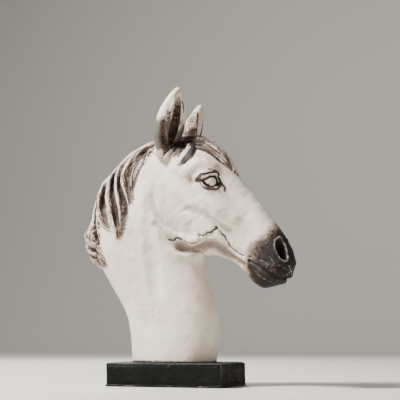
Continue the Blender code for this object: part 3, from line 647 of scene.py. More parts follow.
class Clay:
    """The casting's skin while it is sculpted, and the paint that goes on it."""

    def __init__(self, obj):
        self.obj = obj
        self.points = vertices_of(obj)
        self.faces = [tuple(face.vertices) for face in obj.data.polygons]
        self.refresh()
        self.settle()
        edges = np.empty(len(obj.data.edges) * 2, np.int32)
        obj.data.edges.foreach_get("vertices", edges)
        self.first, self.second = edges.reshape(-1, 2).T
        self.neighbours = np.bincount(edges, minlength=len(self.rest))
        self.hair_way = np.zeros((len(self.rest), 3))
        self.hair_near = np.full(len(self.rest), 9.0)

    def refresh(self):
        set_vertices(self.obj, self.points)
        self.normals = normals_of(self.obj)

    def settle(self):
        """Takes the form as it now is for the one on which later strokes are laid."""
        self.rest = self.points.copy()
        self.rest_normals = self.normals
        self.tree = BVHTree.FromPolygons([Vector(point) for point in self.rest], self.faces)

    def touch(self, place, side):
        """The skin's point at (x, z) as seen from that side, or the one nearest to (x, y, z)."""
        if len(place) == 3:
            return self.tree.find_nearest(Vector((place[0], -side * place[1], place[2])))[0]
        x, z = place
        hit = self.tree.ray_cast(Vector((x, side * FAR_AWAY, z)), Vector((0, -side, 0)))[0]
        return hit or self.tree.find_nearest(Vector((x, 0, z)))[0]

    def around(self, path, side, reach):
        """Vertices within reach of the path laid on the bare form: which, how far, how far
        along it from 0 to 1, how far across it, and how far along it in millimetres."""
        steps = through(path, PATH_STEPS) if len(path) > 1 else [path[0], path[0]]
        line = np.array([self.touch(place, side) for place in steps])
        low, high = line.min(0) - reach, line.max(0) + reach
        chosen = np.nonzero(((self.rest > low) & (self.rest < high)).all(1))[0]
        points, normals = self.rest[chosen], self.rest_normals[chosen]
        best = np.full(len(chosen), np.inf)
        length, across = np.zeros(len(chosen)), np.zeros(len(chosen))
        runs = np.linalg.norm(np.diff(line, axis=0), axis=1)
        gone, total = 0.0, max(runs.sum(), 1e-9)
        for start, end, run in zip(line[:-1], line[1:], runs):
            way = end - start
            t = np.clip(((points - start) @ way) / max(way @ way, 1e-9), 0, 1)
            arm = points - (start + t[:, None] * way)
            distance = np.linalg.norm(arm, axis=1)
            closer = distance < best
            sideways = np.cross(way / max(run, 1e-9), normals)
            best[closer] = distance[closer]
            length[closer] = (gone + t * run)[closer]
            across[closer] = (arm * sideways).sum(1)[closer]
            gone += run
        keep = best < reach
        return chosen[keep], best[keep], length[keep] / total, across[keep], length[keep]

    def push(self, chosen, amount):
        self.points[chosen] += self.normals[chosen] * amount[:, None]

    def model(self, stroke, shape=soft, fade=steady, sides=(-1, 1)):
        """Adds clay along the stroke, or takes it away where its height is below zero."""
        path, radius, height = stroke
        for side in sides:
            chosen, distance, share, _, _ = self.around(path, side, radius)
            strength = fade(share) if len(path) > 1 else 1.0
            self.push(chosen, height * shape(distance / radius) * strength)
        self.refresh()

    def shelf(self, path, height, inside, outside):
        """A step along the path: full height at its edge, thinning inside and dropping outside."""
        for side in (-1, 1):
            chosen, distance, share, across, _ = self.around(path, side, max(inside, outside))
            reach = np.where(across * side < 0, inside, outside)
            self.push(chosen, height * (1 - smoothstep(distance / reach, 0, 1)) * lower_end(share))
        self.refresh()

    def smoothed(self, values, strength, rounds):
        """The values after each is moved towards the middle of its neighbours', some times over."""
        values = values.copy()
        count = len(self.rest)
        for _ in range(rounds):
            for axis in range(values.shape[1]):
                column = values[:, axis]
                total = (np.bincount(self.first, column[self.second], count)
                         + np.bincount(self.second, column[self.first], count))
                column += strength * (total / self.neighbours - column)
        return values

    def relax(self, strength, rounds):
        self.points = self.smoothed(self.points, strength, rounds)
        self.refresh()

    def smooth(self, centre, radius, rounds):
        """Evens out the skin round a point, most at the point itself."""
        away = np.linalg.norm(self.points - np.array(centre, float), axis=1)
        self.relax(soft(away / radius), rounds)

    def add_locks(self, *layers):
        """Locks of hair stand out of the skin, each layer (locks, side). Where they cross, the
        highest one shows."""
        heights = np.zeros(len(self.points))
        for (path, radius, height), side in ((lock, side) for locks, side in layers for lock in locks):
            chosen, distance, share, across, length = self.around(path, side, radius * 1.7)
            nearness = distance / (radius * lock_width(share))
            rise = height * lock_height(share) * ball(nearness)
            heights[chosen] = np.maximum(heights[chosen], rise)
            closer = nearness < self.hair_near[chosen]
            mine = chosen[closer]
            self.hair_near[mine] = nearness[closer]
            tag = np.full(closer.sum(), path[0][0] * 0.37 + path[-1][0] * 0.11)
            self.hair_way[mine] = np.stack([across[closer], length[closer], tag], axis=1)
        chosen = np.nonzero(heights)[0]
        self.push(chosen, heights[chosen])
        self.refresh()

    def comb(self, spacing, depth):
        """Cuts fine grooves that follow each lock."""
        across, along, tag = self.hair_way.T
        drift = 0.45 * np.sin(along / 9.0 + tag) + 0.3 * np.sin(along / 4.1 + 2.3 * tag)
        groove = np.abs(np.sin(math.pi * (across / spacing + drift)))
        strength = 1 - smoothstep(self.hair_near, 0.95, 1.5)
        self.groove = 1 - groove ** 0.6
        chosen = np.nonzero(strength)[0]
        self.push(chosen, (depth * (groove ** 0.6 - 0.75) * strength)[chosen])
        self.refresh()


def shortened(locks, share):
    """The same locks cut off at a share of their points, and flatter."""
    return [(path[:max(2, round(len(path) * share))], radius, height * share)
            for path, radius, height in locks]


def jagged(path, seed, amount):
    """The path with many small turns, as a crack runs."""
    steps = through(path, 4)
    where = np.zeros((len(steps), 3))
    where[:, :steps.shape[1]] = steps
    shift = np.stack([lumps(where, 2.1, seed + axis) for axis in range(steps.shape[1])], axis=1)
    return [tuple(step) for step in steps + amount * shift]


def jagged_lines(lines, amount):
    """Each (path, half width) with its path made jagged, no two alike."""
    return [(jagged(path, seed, amount), half_width)
            for seed, (path, half_width) in enumerate(lines.values())]


def sculpt_face(clay):
    clay.shelf(CHEEK_EDGE, **CHEEK_SHELF)
    for stroke in FACE_STROKES.values():
        clay.model(stroke, fade=both_ends)
    clay.model(JAW_GROOVE, sharp, both_ends)


def sculpt_skin(clay):
    """The uneven surface that modelling by hand leaves, on the bare skin only."""
    bare = smoothstep(clay.hair_near, 1.0, 2.0)
    bare *= 1 - smoothstep(clay.points[:, 2], 236, 246)
    waves = 0.55 * lumps(clay.rest, 13, 1) + 0.38 * lumps(clay.rest, 6, 2) + 0.16 * lumps(clay.rest, 2.6, 3)
    waves *= 1 - 0.45 * (1 - smoothstep(clay.rest[:, 2], 90, 140))
    muzzle = smoothstep(clay.rest[:, 0], 100, 118)
    waves = waves * (1 - 0.4 * muzzle) + muzzle * 0.24 * lumps(clay.rest, 2.2, 4)
    crumbs = smoothstep(lumps(clay.rest, 2.2, 5), 0.35, 0.75)
    for place, radius in CRUMB_PATCHES:
        away = np.linalg.norm(clay.rest - np.array(place), axis=1)
        waves += 1.1 * crumbs * soft(away / radius)
    clay.push(np.arange(len(bare)), waves * bare)
    clay.refresh()


def sculpt_hair(clay):
    """The mane falls down the near side, the far side's is shorter, and a forelock lies on the brow."""
    clay.add_locks((CREST_RIDGES.values(), -1), (MANE_RIDGES.values(), -1),
                   (shortened(MANE_RIDGES.values(), FAR_SIDE_SHARE), 1), (BROW_HAIR.values(), -1))
    clay.add_locks((KNOB_CURLS.values(), -1), (KNOB_CURLS.values(), 1), (FORELOCK.values(), -1),
                   (FORELOCK.values(), 1))
    for stroke in MANE_HOLLOWS.values():
        clay.model(stroke, fade=both_ends, sides=(-1,))
    for stroke in shortened(MANE_HOLLOWS.values(), FAR_SIDE_SHARE):
        clay.model(stroke, fade=both_ends, sides=(1,))
    for stroke in FORELOCK_HOLLOWS.values():
        clay.model(stroke, fade=both_ends)
    clay.comb(STRAND_SPACING, STRAND_DEPTH)


def sculpt_eyes(clay):
    clay.model(EYE_SOCKET)
    clay.model(EYEBALL, ball)
    clay.model(EYE_RING, sharp)
    clay.model(UPPER_LID, fade=both_ends)
    clay.model(LOWER_LID, fade=both_ends)
    clay.model(LID_CREASE, fade=both_ends)


def sculpt_muzzle(clay):
    clay.model(NOSTRIL_HOLLOW)
    clay.model(NOSTRIL_RIM)
    clay.model(UPPER_LIP, fade=both_ends)
    clay.model(LOWER_LIP, fade=both_ends)
    clay.model(LIP_PATCH)
    clay.model(MOUTH, sharp)
    for fold in CHIN_FOLDS:
        clay.model(fold, fade=both_ends)


def sculpt_cracks(clay):
    for path, half_width in jagged_lines(CRACKS, 1.0):
        clay.model((path, 1.1 + half_width, -1.0), sharp)


def line_gap(clay, lines, gap, sides=(-1, 1)):
    """Lowers gap to the distance in millimetres from the edge of the nearest of the lines."""
    for path, half_width in lines:
        for side in sides:
            chosen, distance, _, _, _ = clay.around(path, side, LINE_REACH)
            gap[chosen] = np.minimum(gap[chosen], distance - half_width)


def washed(clay, strokes, mask, sides=(-1, 1)):
    """Raises mask along strokes of (path, radius, strength)."""
    for path, radius, strength in strokes:
        for side in sides:
            chosen, distance, _, _, _ = clay.around(path, side, radius)
            mask[chosen] = np.maximum(mask[chosen], strength * soft(distance / radius) ** 0.6)


def beside_ear(clay, shape):
    """How far along the ear's midline each vertex is from 0 to 1, its arm from it and how far."""
    root = np.array(shape["root"], float)
    way = np.array(shape["tip"], float) - root
    share = (clay.rest - root) @ way / (way @ way)
    arm = clay.rest - (root + np.clip(share, 0, 1)[:, None] * way)
    return share, arm, np.linalg.norm(arm, axis=1)


def in_ear(clay, shape):
    """How far inside the ear's cup each vertex is, from 0 to 1."""
    share, arm, away = beside_ear(clay, shape)
    facing = -(arm * clay.rest_normals).sum(1) / np.maximum(away, 1e-6)
    cup = smoothstep(facing, -0.1, 0.3) * (away < EAR_REACH) * smoothstep(share, 0.2, 0.3)
    return cup * (1 - smoothstep(share, 0.72, 0.86))


def ear_grey(clay, shape):
    """The cool grey bloom on the lower half of an ear's back, from 0 to 1."""
    share, _, away = beside_ear(clay, shape)
    patchy = share + 0.10 * lumps(clay.rest, 12, 41) + 0.05 * lumps(clay.rest, 4, 42)
    return smoothstep(patchy, 0.06, 0.2) * (1 - smoothstep(patchy, 0.34, 0.62)) * (away < BLOOM_REACH)


def muzzle_depth(points):
    """How far in front of the wash's ragged edge a vertex is, on the muzzle, in millimetres."""
    edge_x, edge_z = MUZZLE_EDGE
    return points[:, 0] - np.interp(points[:, 2], edge_z, edge_x)


def paint(clay):
    """What the material needs to know at each vertex, in millimetres or from 0 to 1."""
    near = clay.hair_near
    hair = 1 - smoothstep(near, 1.0, 1.5)
    wash = 0.38 * hair
    far_hollows = shortened(MANE_HOLLOWS.values(), FAR_SIDE_SHARE)
    washed(clay, [(path, radius, 0.6) for path, radius, _ in MANE_HOLLOWS.values()], wash, (-1,))
    washed(clay, [(path, radius * 1.2, 0.7) for path, radius, _ in far_hollows], wash, (1,))
    washed(clay, MANE_WASH, wash, (-1,))
    washed(clay, [(path, radius * 1.3, 0.8) for path, radius, _ in FORELOCK_HOLLOWS.values()], wash)
    # The eye's strokes paint shade in its corner and on the eyeball as well as wash
    washed(clay, FORELOCK_WASH + EYE_WASH_AND_SHADE, wash)
    washed(clay, NEAR_EAR_WASH + FAR_EAR_WASH, wash, (-1,))
    for shape in (NEAR_EAR, FAR_EAR):
        wash = np.maximum(wash, 0.58 * in_ear(clay, shape))
    rest = clay.rest
    depth = muzzle_depth(rest) + 3.0 * lumps(rest, 7, 11) + 2.6 * lumps(rest, 2.6, 12)
    wash = np.maximum(wash, 0.82 * smoothstep(depth, -5, 8) + 0.34 * smoothstep(depth, 8, 22))
    mouth = np.array(MOUTH[0])
    below_mouth = np.interp(rest[:, 0], mouth[:, 0], mouth[:, 2]) - rest[:, 2]
    lip_depth = rest[:, 0] - np.interp(rest[:, 2], LIP_EDGE[1], LIP_EDGE[0]) + 1.5 * lumps(rest, 3, 14)
    wash = np.maximum(wash, 1.15 * smoothstep(below_mouth, -2, 1) * smoothstep(lip_depth, -2, 4))
    washed(clay, [(MOUTH[0], 4.0, 1.0), (NOSTRIL_HOLLOW[0], 9.5, 0.8), (BESIDE_NOSTRIL, 6.0, 0.95)], wash)
    dried = 0.45 * smoothstep(lumps(rest, 2.4, 15), -0.2, 0.6)
    patch = np.zeros(len(near))
    washed(clay, [(LIP_PATCH[0], 8.0, 1.0)], patch)
    wash -= dried * patch * smoothstep(-below_mouth, 0.5, 2)
    tan = smoothstep(muzzle_depth(rest) + 5 * lumps(rest, 11, 13), -18, 4)
    # Painted shade in the tan: under the face crest, under the jaw and the throat, and behind the eye
    washed(clay, FACE_PAINTED_SHADE, tan)
    grey = np.maximum(ear_grey(clay, NEAR_EAR), 0.7 * ear_grey(clay, FAR_EAR)) * (1 - 0.8 * hair)
    gap = np.full(len(near), NO_LINE)
    line_gap(clay, jagged_lines(CRACKS, 1.0), gap)
    line_gap(clay, FLECKS.values(), gap)
    gap[:] = gap + 0.65 * (lumps(clay.rest, 3.4, 21) + 0.35)
    line_gap(clay, [(jagged(path, 9, 0.3), half) for path, half in EYE_LINES.values()], gap)
    line_gap(clay, [(MOUTH[0], 0.7), (EAR_STROKES["crack at the tip"][0], 0.4)], gap)
    line_gap(clay, EAR_LINES, gap, (-1,))
    wiped = np.full(len(near), NO_LINE)
    line_gap(clay, WIPED_MUZZLE, wiped)
    for strokes, names, half_width, sides in WIPED_RIDGES:
        line_gap(clay, [(strokes[name][0], half_width) for name in names], wiped, sides)
    even = clay.smoothed(clay.points, RELAX_STRENGTH, ROUNDS_TO_EVEN)
    wide = clay.smoothed(even, RELAX_STRENGTH, ROUNDS_TO_LEVEL)
    hollow = ((even - clay.points) * clay.normals).sum(1)
    dip = ((wide - clay.points) * clay.normals).sum(1)
    return {"dark_wash_and_eye_shade": wash, "tan_wash_and_painted_shade": tan, "line_gap": gap, "wiped_gap": wiped, "hair": hair,
            "strand": clay.groove * hair, "grey_bloom": grey, "hollow": hollow, "dip": dip,
            "hair_way": clay.hair_way}


def add_attributes(obj, values):
    """Numbers or arrows at the mesh's vertices, for the material to read."""
    for name, numbers in values.items():
        kind, key = ("FLOAT", "value") if numbers.ndim == 1 else ("FLOAT_VECTOR", "vector")
        layer = obj.data.attributes.new(name, kind, "POINT")
        layer.data.foreach_set(key, numbers.astype(np.float32).ravel())


def mark_plain(clay, hair):
    """A vertex group of what may be thinned most: it is weakest where the detail is."""
    fine = hair.copy()
    for place, radius in FINE_DETAIL:
        for side in (-1, 1):
            away = np.linalg.norm(clay.points - clay.touch(place, side), axis=1)
            fine = np.maximum(fine, 1 - smoothstep(away, 0.7 * radius, radius))
    levels = np.round((1 - 0.7 * fine) * PLAIN_LEVELS)
    group = clay.obj.vertex_groups.new(name="plain")
    for level in np.unique(levels):
        group.add([int(i) for i in np.nonzero(levels == level)[0]], level / PLAIN_LEVELS, "REPLACE")


def cut_flat(obj, height):
    """Takes off what is below the height and closes the cut."""
    mesh = bmesh.new()
    mesh.from_mesh(obj.data)
    everything = mesh.verts[:] + mesh.edges[:] + mesh.faces[:]
    cut = bmesh.ops.bisect_plane(mesh, geom=everything, dist=1e-4, plane_co=(0, 0, height),
                                 plane_no=(0, 0, -1), clear_outer=True)
    edges = [item for item in cut["geom_cut"] if isinstance(item, bmesh.types.BMEdge)]
    bmesh.ops.holes_fill(mesh, edges=edges, sides=len(edges))
    bmesh.ops.triangulate(mesh, faces=[face for face in mesh.faces if len(face.verts) > 4])
    mesh.to_mesh(obj.data)
    mesh.free()


def thinned(obj, triangles):
    """The same form with about that many triangles."""
    obj.modifiers.new("triangles", "TRIANGULATE")
    apply_modifiers(obj)
    thin = obj.modifiers.new("thin", "DECIMATE")
    thin.ratio = triangles / len(obj.data.polygons)
    thin.vertex_group = "plain"
    thin.vertex_group_factor = 0.3
    apply_modifiers(obj)


def linear(code):
    """The linear red, green, blue and alpha of an sRGB hex colour."""
    values = [int(code[i:i + 2], 16) / 255 for i in (1, 3, 5)]
    return (*[v / 12.92 if v <= 0.04045 else ((v + 0.055) / 1.055) ** 2.4 for v in values], 1.0)


def put(tree, kind, inputs=None, out=0, **settings):
    """Adds a node with its settings, links or fills its inputs, and returns one of its outputs."""
    made = tree.nodes.new(kind)
    for name, value in settings.items():
        setattr(made, name, value)
    for key, value in (inputs or {}).items():
        if isinstance(value, bpy.types.NodeSocket):
            tree.links.new(value, made.inputs[key])
        else:
            made.inputs[key].default_value = value
    return made.outputs[out]


def new_material(name, roughness, ior):
    made = bpy.data.materials.new(name)
    made.use_nodes = True
    shader = made.node_tree.nodes["Principled BSDF"]
    shader.inputs["Roughness"].default_value = roughness
    shader.inputs["IOR"].default_value = ior
    return made, made.node_tree, shader


def white_resin():
    """Polyester resin cast in a rubber mould, sprayed off-white, washed with thin dark brown
    paint and wiped: the brown stays in the hollows, and the proud edges rub back to white."""
    made, tree, shader = new_material("cast resin, brown wash wiped back, painted shade", 0.55, 1.5)
    shader.inputs["Specular IOR Level"].default_value = 0.35
    place = put(tree, "ShaderNodeTexCoord", out="Object")
    read = {}
    for name in ("dark_wash_and_eye_shade", "tan_wash_and_painted_shade", "line_gap", "wiped_gap", "hair", "strand", "grey_bloom",
                 "hollow", "dip"):
        read[name] = put(tree, "ShaderNodeAttribute", out="Fac", attribute_name=name)
    hair_way = put(tree, "ShaderNodeAttribute", out="Vector", attribute_name="hair_way")
    along_hair = put(tree, "ShaderNodeVectorMath", {0: hair_way, 1: (0.5, 0.06, 1.0)}, operation="MULTIPLY")
    bare = put(tree, "ShaderNodeMath", {0: 1.0, 1: read["hair"]}, operation="SUBTRACT")

    # Clouds of 40 mm in the white, stains of 12 mm, brush flecks of 3 mm, a grain of 1.2 mm, and
    # streaks 2 mm wide and 16 mm long that follow each lock
    noise = {}
    for name, where, size, detail, rough in (
            ("cloud", place, 0.040, 3.0, 0.5), ("stain", place, 0.012, 5.0, 0.6),
            ("fleck", place, 0.003, 4.0, 0.7), ("grain", place, 0.0012, 2.0, 0.5),
            ("streak", along_hair, 1.0, 2.0, 0.6)):
        noise[name] = put(tree, "ShaderNodeTexNoise",
                          {"Vector": where, "Scale": 1 / size, "Detail": detail, "Roughness": rough})

    # Three of them from -1 to 1, the grain only on bare resin and the streaks only on hair
    swing = {}
    for name, low, high in (("fleck", 0.3, 0.7), ("grain", 0.35, 0.65), ("streak", 0.3, 0.7)):
        swing[name] = put(tree, "ShaderNodeMapRange", {"Value": noise[name], "From Min": low,
                                                       "From Max": high, "To Min": -1.0, "To Max": 1.0})
    for name, where in (("grain", bare), ("streak", read["hair"])):
        swing[name] = put(tree, "ShaderNodeMath", {0: swing[name], 1: where}, operation="MULTIPLY")

    # Each coat's edge is made ragged by them, and the wash gathers between strands and in dips
    coat = {}
    for name, value, swings in (
            ("tan", read["tan_wash_and_painted_shade"], ((swing["fleck"], 0.16),)),
            ("grey", read["grey_bloom"], ((swing["fleck"], 0.12),)),
            ("wash", read["dark_wash_and_eye_shade"], ((read["dip"], 0.06), (swing["streak"], 0.22), (read["strand"], 0.25),
                                         (swing["fleck"], 0.16), (swing["grain"], 0.26))),
            ("wiped", read["wiped_gap"], ((swing["fleck"], 0.5),)),
            ("drawn", read["line_gap"], ((swing["fleck"], 0.25),))):
        for source, share in swings:
            value = put(tree, "ShaderNodeMath", {0: source, 1: share, 2: value}, operation="MULTIPLY_ADD")
        coat[name] = value

    # The sprayed white, a little yellower and greyer in clouds. Over it: stains, thin wash in the
    # dimples, a tan wash at the muzzle's edge, which also carries painted shade under the face crest,
    # under the jaw and behind the eye, the cool grey bloom on the ears, then the dark wash, a mid brown
    # where it is thin and nearly black where it has pooled, with painted shade round the eye. What
    # stands proud was wiped clean in patches, the ridges and rims most, and cracks and eye lines are
    # drawn in with the same brown
    patchy = put(tree, "ShaderNodeMapRange", {"Value": noise["fleck"], "From Min": 0.38, "From Max": 0.6,
                                              "To Min": 0.1, "To Max": 0.75}, interpolation_type="SMOOTHSTEP")
    clouded = put(tree, "ShaderNodeMapRange", {"Value": noise["cloud"], "From Min": 0.35, "From Max": 0.65})
    colour = put(tree, "ShaderNodeMix", {0: clouded, 6: linear("#F3E4D4"), 7: linear("#E3D1BF")}, out=2,
                 data_type="RGBA")
    for source, start, end, most, code in (
            (noise["stain"], 0.50, 0.75, 0.5, "#CFBFAF"), (read["hollow"], 0.04, 0.4, 0.6, "#A08C7A"),
            # The tan also paints shade under the jaw, the face crest and behind the eye, and the dark wash
            # paints shade round the eye
            (coat["tan"], 0.15, 1.0, 0.85, "#6C5B50"), (coat["grey"], 0.1, 0.8, 0.92, "#4A4645"),
            (coat["wash"], 0.22, 0.5, 1.0, "#624E40"), (coat["wash"], 0.5, 0.9, 1.0, "#1A0F09"),
            (read["hollow"], -0.28, -0.85, patchy, "#CBBFB2"), (coat["wiped"], 0.6, -0.5, 0.8, "#DDD3C7"),
            (coat["drawn"], 0.45, -0.3, 0.93, "#1C1410")):
        cover = put(tree, "ShaderNodeMapRange", {"Value": source, "From Min": start, "From Max": end,
                                                 "To Max": most}, interpolation_type="SMOOTHSTEP")
        colour = put(tree, "ShaderNodeMix", {0: cover, 6: colour, 7: linear(code)}, out=2, data_type="RGBA")

    # Dull, duller still under the wash, with a fine relief
    rough = put(tree, "ShaderNodeMapRange", {"Value": noise["stain"], "From Min": 0.3, "From Max": 0.7,
                                             "To Min": 0.48, "To Max": 0.62})
    rough = put(tree, "ShaderNodeMath", {0: coat["wash"], 1: 0.12, 2: rough}, operation="MULTIPLY_ADD")
    height = noise["fleck"]
    for source, share in ((noise["grain"], 0.5), (swing["streak"], 0.7)):
        height = put(tree, "ShaderNodeMath", {0: source, 1: share, 2: height}, operation="MULTIPLY_ADD")
    relief = put(tree, "ShaderNodeBump", {"Height": height, "Strength": 0.4, "Distance": 0.0006},
                 out="Normal")
    for socket, value in (("Base Color", colour), ("Roughness", rough), ("Normal", relief)):
        tree.links.new(value, shader.inputs[socket])
    return made


def black_slate():
    """Slate split and sawn to a slab, rubbed with black oil: dull, nearly black, with pale
    stone dust where its edges are worn and in its pits."""
    made, tree, shader = new_material("black slate, oiled", 0.6, 1.45)
    shader.inputs["Specular IOR Level"].default_value = 0.15
    place = put(tree, "ShaderNodeTexCoord", out="Object")
    worn = put(tree, "ShaderNodeAttribute", out="Fac", attribute_name="worn")

    # Clouds of 22 mm, pits of 2 mm, and split layers 14 mm long and 3 mm high
    layers = put(tree, "ShaderNodeMapping", {"Vector": place, "Scale": (1.0, 1.0, 5.0)})
    noise = {}
    for name, where, size, detail, rough in (
            ("cloud", place, 0.022, 4.0, 0.5), ("pit", place, 0.002, 4.0, 0.7),
            ("split", layers, 0.014, 6.0, 0.6)):
        noise[name] = put(tree, "ShaderNodeTexNoise",
                          {"Vector": where, "Scale": 1 / size, "Detail": detail, "Roughness": rough})

    # The oiled black in clouds, then its greyer split layers, the dust on worn edges and pale specks
    clouded = put(tree, "ShaderNodeMapRange", {"Value": noise["cloud"], "From Min": 0.35, "From Max": 0.65})
    colour = put(tree, "ShaderNodeMix", {0: clouded, 6: linear("#080907"), 7: linear("#10110F")}, out=2,
                 data_type="RGBA")
    dust = put(tree, "ShaderNodeMath", {0: worn, 1: noise["pit"]}, operation="MULTIPLY")
    for source, start, end, most, code in (
            (noise["split"], 0.55, 0.75, 0.5, "#1D1E1B"), (dust, 0.26, 0.62, 0.85, "#76726A"),
            (noise["pit"], 0.68, 0.76, 0.5, "#5F5C56")):
        cover = put(tree, "ShaderNodeMapRange", {"Value": source, "From Min": start, "From Max": end,
                                                 "To Max": most}, interpolation_type="SMOOTHSTEP")
        colour = put(tree, "ShaderNodeMix", {0: cover, 6: colour, 7: linear(code)}, out=2, data_type="RGBA")

    rough = put(tree, "ShaderNodeMapRange", {"Value": noise["split"], "From Min": 0.3, "From Max": 0.7,
                                             "To Min": 0.45, "To Max": 0.7})
    height = put(tree, "ShaderNodeMath", {0: noise["pit"], 1: 0.5, 2: noise["split"]},
                 operation="MULTIPLY_ADD")
    relief = put(tree, "ShaderNodeBump", {"Height": height, "Strength": 0.6, "Distance": 0.0009},
                 out="Normal")
    for socket, value in (("Base Color", colour), ("Roughness", rough), ("Normal", relief)):
        tree.links.new(value, shader.inputs[socket])
    return made


def plain_floor():
    """A matt painted studio board."""
    made, _, shader = new_material("matt studio board", 0.7, 1.45)
    shader.inputs["Base Color"].default_value = linear("#CBC6BF")
    return made


def cast_bust():
    parts = [neck_and_head(), ear("near_ear", **NEAR_EAR), ear("far_ear", **FAR_EAR)]
    bust = joined("cast_bust", parts)
    reskinned(bust, SKIN_VOXEL)
    clay = Clay(bust)
    clay.relax(RELAX_STRENGTH, 3)
    clay.model(THROAT_CLAY)
    sculpt_face(clay)
    clay.smooth(*THROAT_SMOOTHING)
    clay.model(UNDER_JAW)
    clay.settle()
    clay.model(CHEEK_FILL)
    clay.model(UNDER_CHEEK)
    for smoothing in (*UNDER_CHEEK_SMOOTHING, *EAR_ROOT_SMOOTHING):
        clay.smooth(*smoothing)
    clay.relax(RELAX_STRENGTH, 3)
    sculpt_hair(clay)
    sculpt_skin(clay)
    sculpt_eyes(clay)
    sculpt_muzzle(clay)
    for stroke in EAR_STROKES.values():
        clay.model(stroke, fade=both_ends, sides=(-1,))
    sculpt_cracks(clay)
    clay.relax(LAST_RELAX_STRENGTH, 1)
    values = paint(clay)
    add_attributes(bust, values)
    mark_plain(clay, values["hair"])
    set_vertices(bust, turned(clay.points))
    cut_flat(bust, 0.0)
    thinned(bust, BUST_TRIANGLES)
    bust.data.transform(Matrix.Translation((0, 0, FOOT)) @ Matrix.Scale(MM, 4))
    bust.data.shade_smooth()
    bust.data.materials.clear()
    bust.data.materials.append(white_resin())
    return bust


def slate_plinth():
    """A slab with soft broken edges, flat below and where the bust stands."""
    low, high = Vector(PLINTH_LOW), Vector(PLINTH_HIGH)
    bpy.ops.object.select_all(action="DESELECT")
    bpy.ops.mesh.primitive_cube_add(size=1)
    slab = bpy.context.object
    slab.name = slab.data.name = "slate_plinth"
    slab.data.transform(Matrix.Diagonal((*(high - low) / MM, 1)))
    slab.data.transform(Matrix.Translation((low + high) / 2 / MM))
    edge = slab.modifiers.new("worn edges", "BEVEL")
    edge.width = PLINTH_BEVEL
    edge.segments = 4
    reskinned(slab, PLINTH_VOXEL)
    points = vertices_of(slab)
    normals = normals_of(slab)
    size = np.array((high - low) / MM)
    middle = np.array((low + high) / 2 / MM)
    inset = size / 2 - np.abs(points - middle)
    inset.sort(axis=1)
    to_edge = inset[:, 1]
    height = points[:, 2]
    chips = smoothstep(lumps(points, 7, 31) + 0.5 * lumps(points, 2.5, 32), 0.3, 0.9)
    broken = (1 - smoothstep(to_edge, 0.5, 5.0)) * chips
    rubbed = (1 - smoothstep(to_edge, 0.0, 7.0)) * (0.5 + 0.5 * lumps(points, 19, 35))
    faces = 0.35 * lumps(points, 11, 33) + 0.22 * lumps(points, 3.5, 34)
    standing = smoothstep(height, 0.3, 3.0)
    under_bust = (height > size[2] - 0.6) & (to_edge > SEAT_MARGIN)
    amount = (-CHIP_DEPTH * broken - RUB_DEPTH * rubbed + faces - PLINTH_INSET) * standing
    amount = np.where(under_bust, -SEAT_INSET, amount)
    set_vertices(slab, points + normals * amount[:, None])
    worn = (1 - smoothstep(to_edge, 0.3, 2.6)) * standing + 0.8 * broken
    add_attributes(slab, {"worn": worn})
    slab.data.transform(Matrix.Scale(MM, 4))
    slab.data.shade_smooth()
    slab.data.materials.append(black_slate())
    return slab


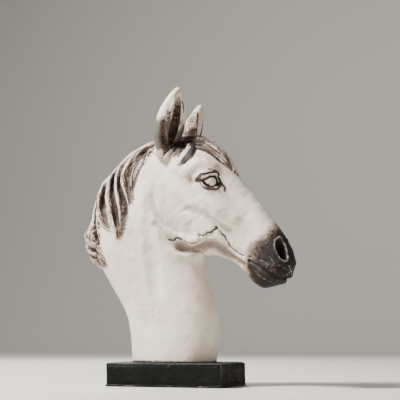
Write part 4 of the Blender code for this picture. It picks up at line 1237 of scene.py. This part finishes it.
def studio():
    """A pale floor and soft lights."""
    bpy.ops.object.select_all(action="DESELECT")
    bpy.ops.mesh.primitive_plane_add(size=BOARD_SIZE, location=(0, BOARD_SHIFT, 0))
    floor = bpy.context.object
    floor.name = floor.data.name = "floor"
    bpy.ops.object.mode_set(mode="EDIT")
    bpy.ops.mesh.select_mode(type="EDGE")
    bpy.ops.mesh.select_all(action="DESELECT")
    sheet = bmesh.from_edit_mesh(floor.data)
    for edge in sheet.edges:
        edge.select_set(all(vertex.co.y > 0 for vertex in edge.verts))
    bmesh.update_edit_mesh(floor.data)
    bpy.ops.mesh.spin(steps=24, angle=SWEEP_TURN, center=(0, SWEEP_START, SWEEP_RADIUS), axis=(1, 0, 0))
    bpy.ops.mesh.extrude_region_move(TRANSFORM_OT_translate={"value": (0, 0, SWEEP_WALL)})
    bpy.ops.mesh.select_all(action="SELECT")
    bpy.ops.mesh.remove_doubles(threshold=1e-4)
    bpy.ops.mesh.normals_make_consistent(inside=False)
    bpy.ops.object.mode_set(mode="OBJECT")
    floor.data.shade_smooth()
    floor.data.materials.append(plain_floor())
    world = bpy.data.worlds.new("studio")
    bpy.context.scene.world = world
    world.use_nodes = True
    background = world.node_tree.nodes["Background"]
    background.inputs["Color"].default_value = linear("#D9D5CF")
    background.inputs["Strength"].default_value = WORLD_STRENGTH
    for name, spot, size, power in LIGHTS:
        light = bpy.data.lights.new(name, "AREA")
        light.size = size
        light.energy = power
        lamp = bpy.data.objects.new(name, light)
        bpy.context.scene.collection.objects.link(lamp)
        lamp.location = spot
        lamp.rotation_mode = "QUATERNION"
        lamp.rotation_quaternion = (LIGHTS_AIM - Vector(spot)).to_track_quat("-Z", "Y")


def camera():
    """The photograph's view: round from the near side, level with the plinth and looking up."""
    focal = VIEW_DISTANCE / METRES_PER_PIXEL
    pitch = math.atan(HORIZON_BELOW_MIDDLE / focal)
    yaw = math.atan(PLINTH_LEFT_OF_MIDDLE / focal)
    straight = Vector((-math.sin(VIEW_ROUND), math.cos(VIEW_ROUND), 0))
    aside = Vector((math.cos(VIEW_ROUND), math.sin(VIEW_ROUND), 0))
    stand = straight * -VIEW_DISTANCE + Vector((0, 0, VIEW_HEIGHT))
    ahead = straight * math.cos(yaw) + aside * math.sin(yaw)
    right = aside * math.cos(yaw) - straight * math.sin(yaw)
    up = Vector((0, 0, 1))
    look = ahead * math.cos(pitch) + up * math.sin(pitch)
    up = up * math.cos(pitch) - ahead * math.sin(pitch)
    made = bpy.data.cameras.new("camera")
    made.sensor_width = SENSOR_WIDTH
    made.lens = SENSOR_WIDTH * focal / PICTURE
    eye = bpy.data.objects.new("camera", made)
    bpy.context.scene.collection.objects.link(eye)
    eye.matrix_world = Matrix(((right.x, up.x, -look.x, stand.x), (right.y, up.y, -look.y, stand.y),
                               (right.z, up.z, -look.z, stand.z), (0, 0, 0, 1)))
    bpy.context.scene.camera = eye


bust = cast_bust()
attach(bust, "root")
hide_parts("horse_bust")
slab = slate_plinth()
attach(slab, "root")
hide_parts("plinth")
studio()
camera()
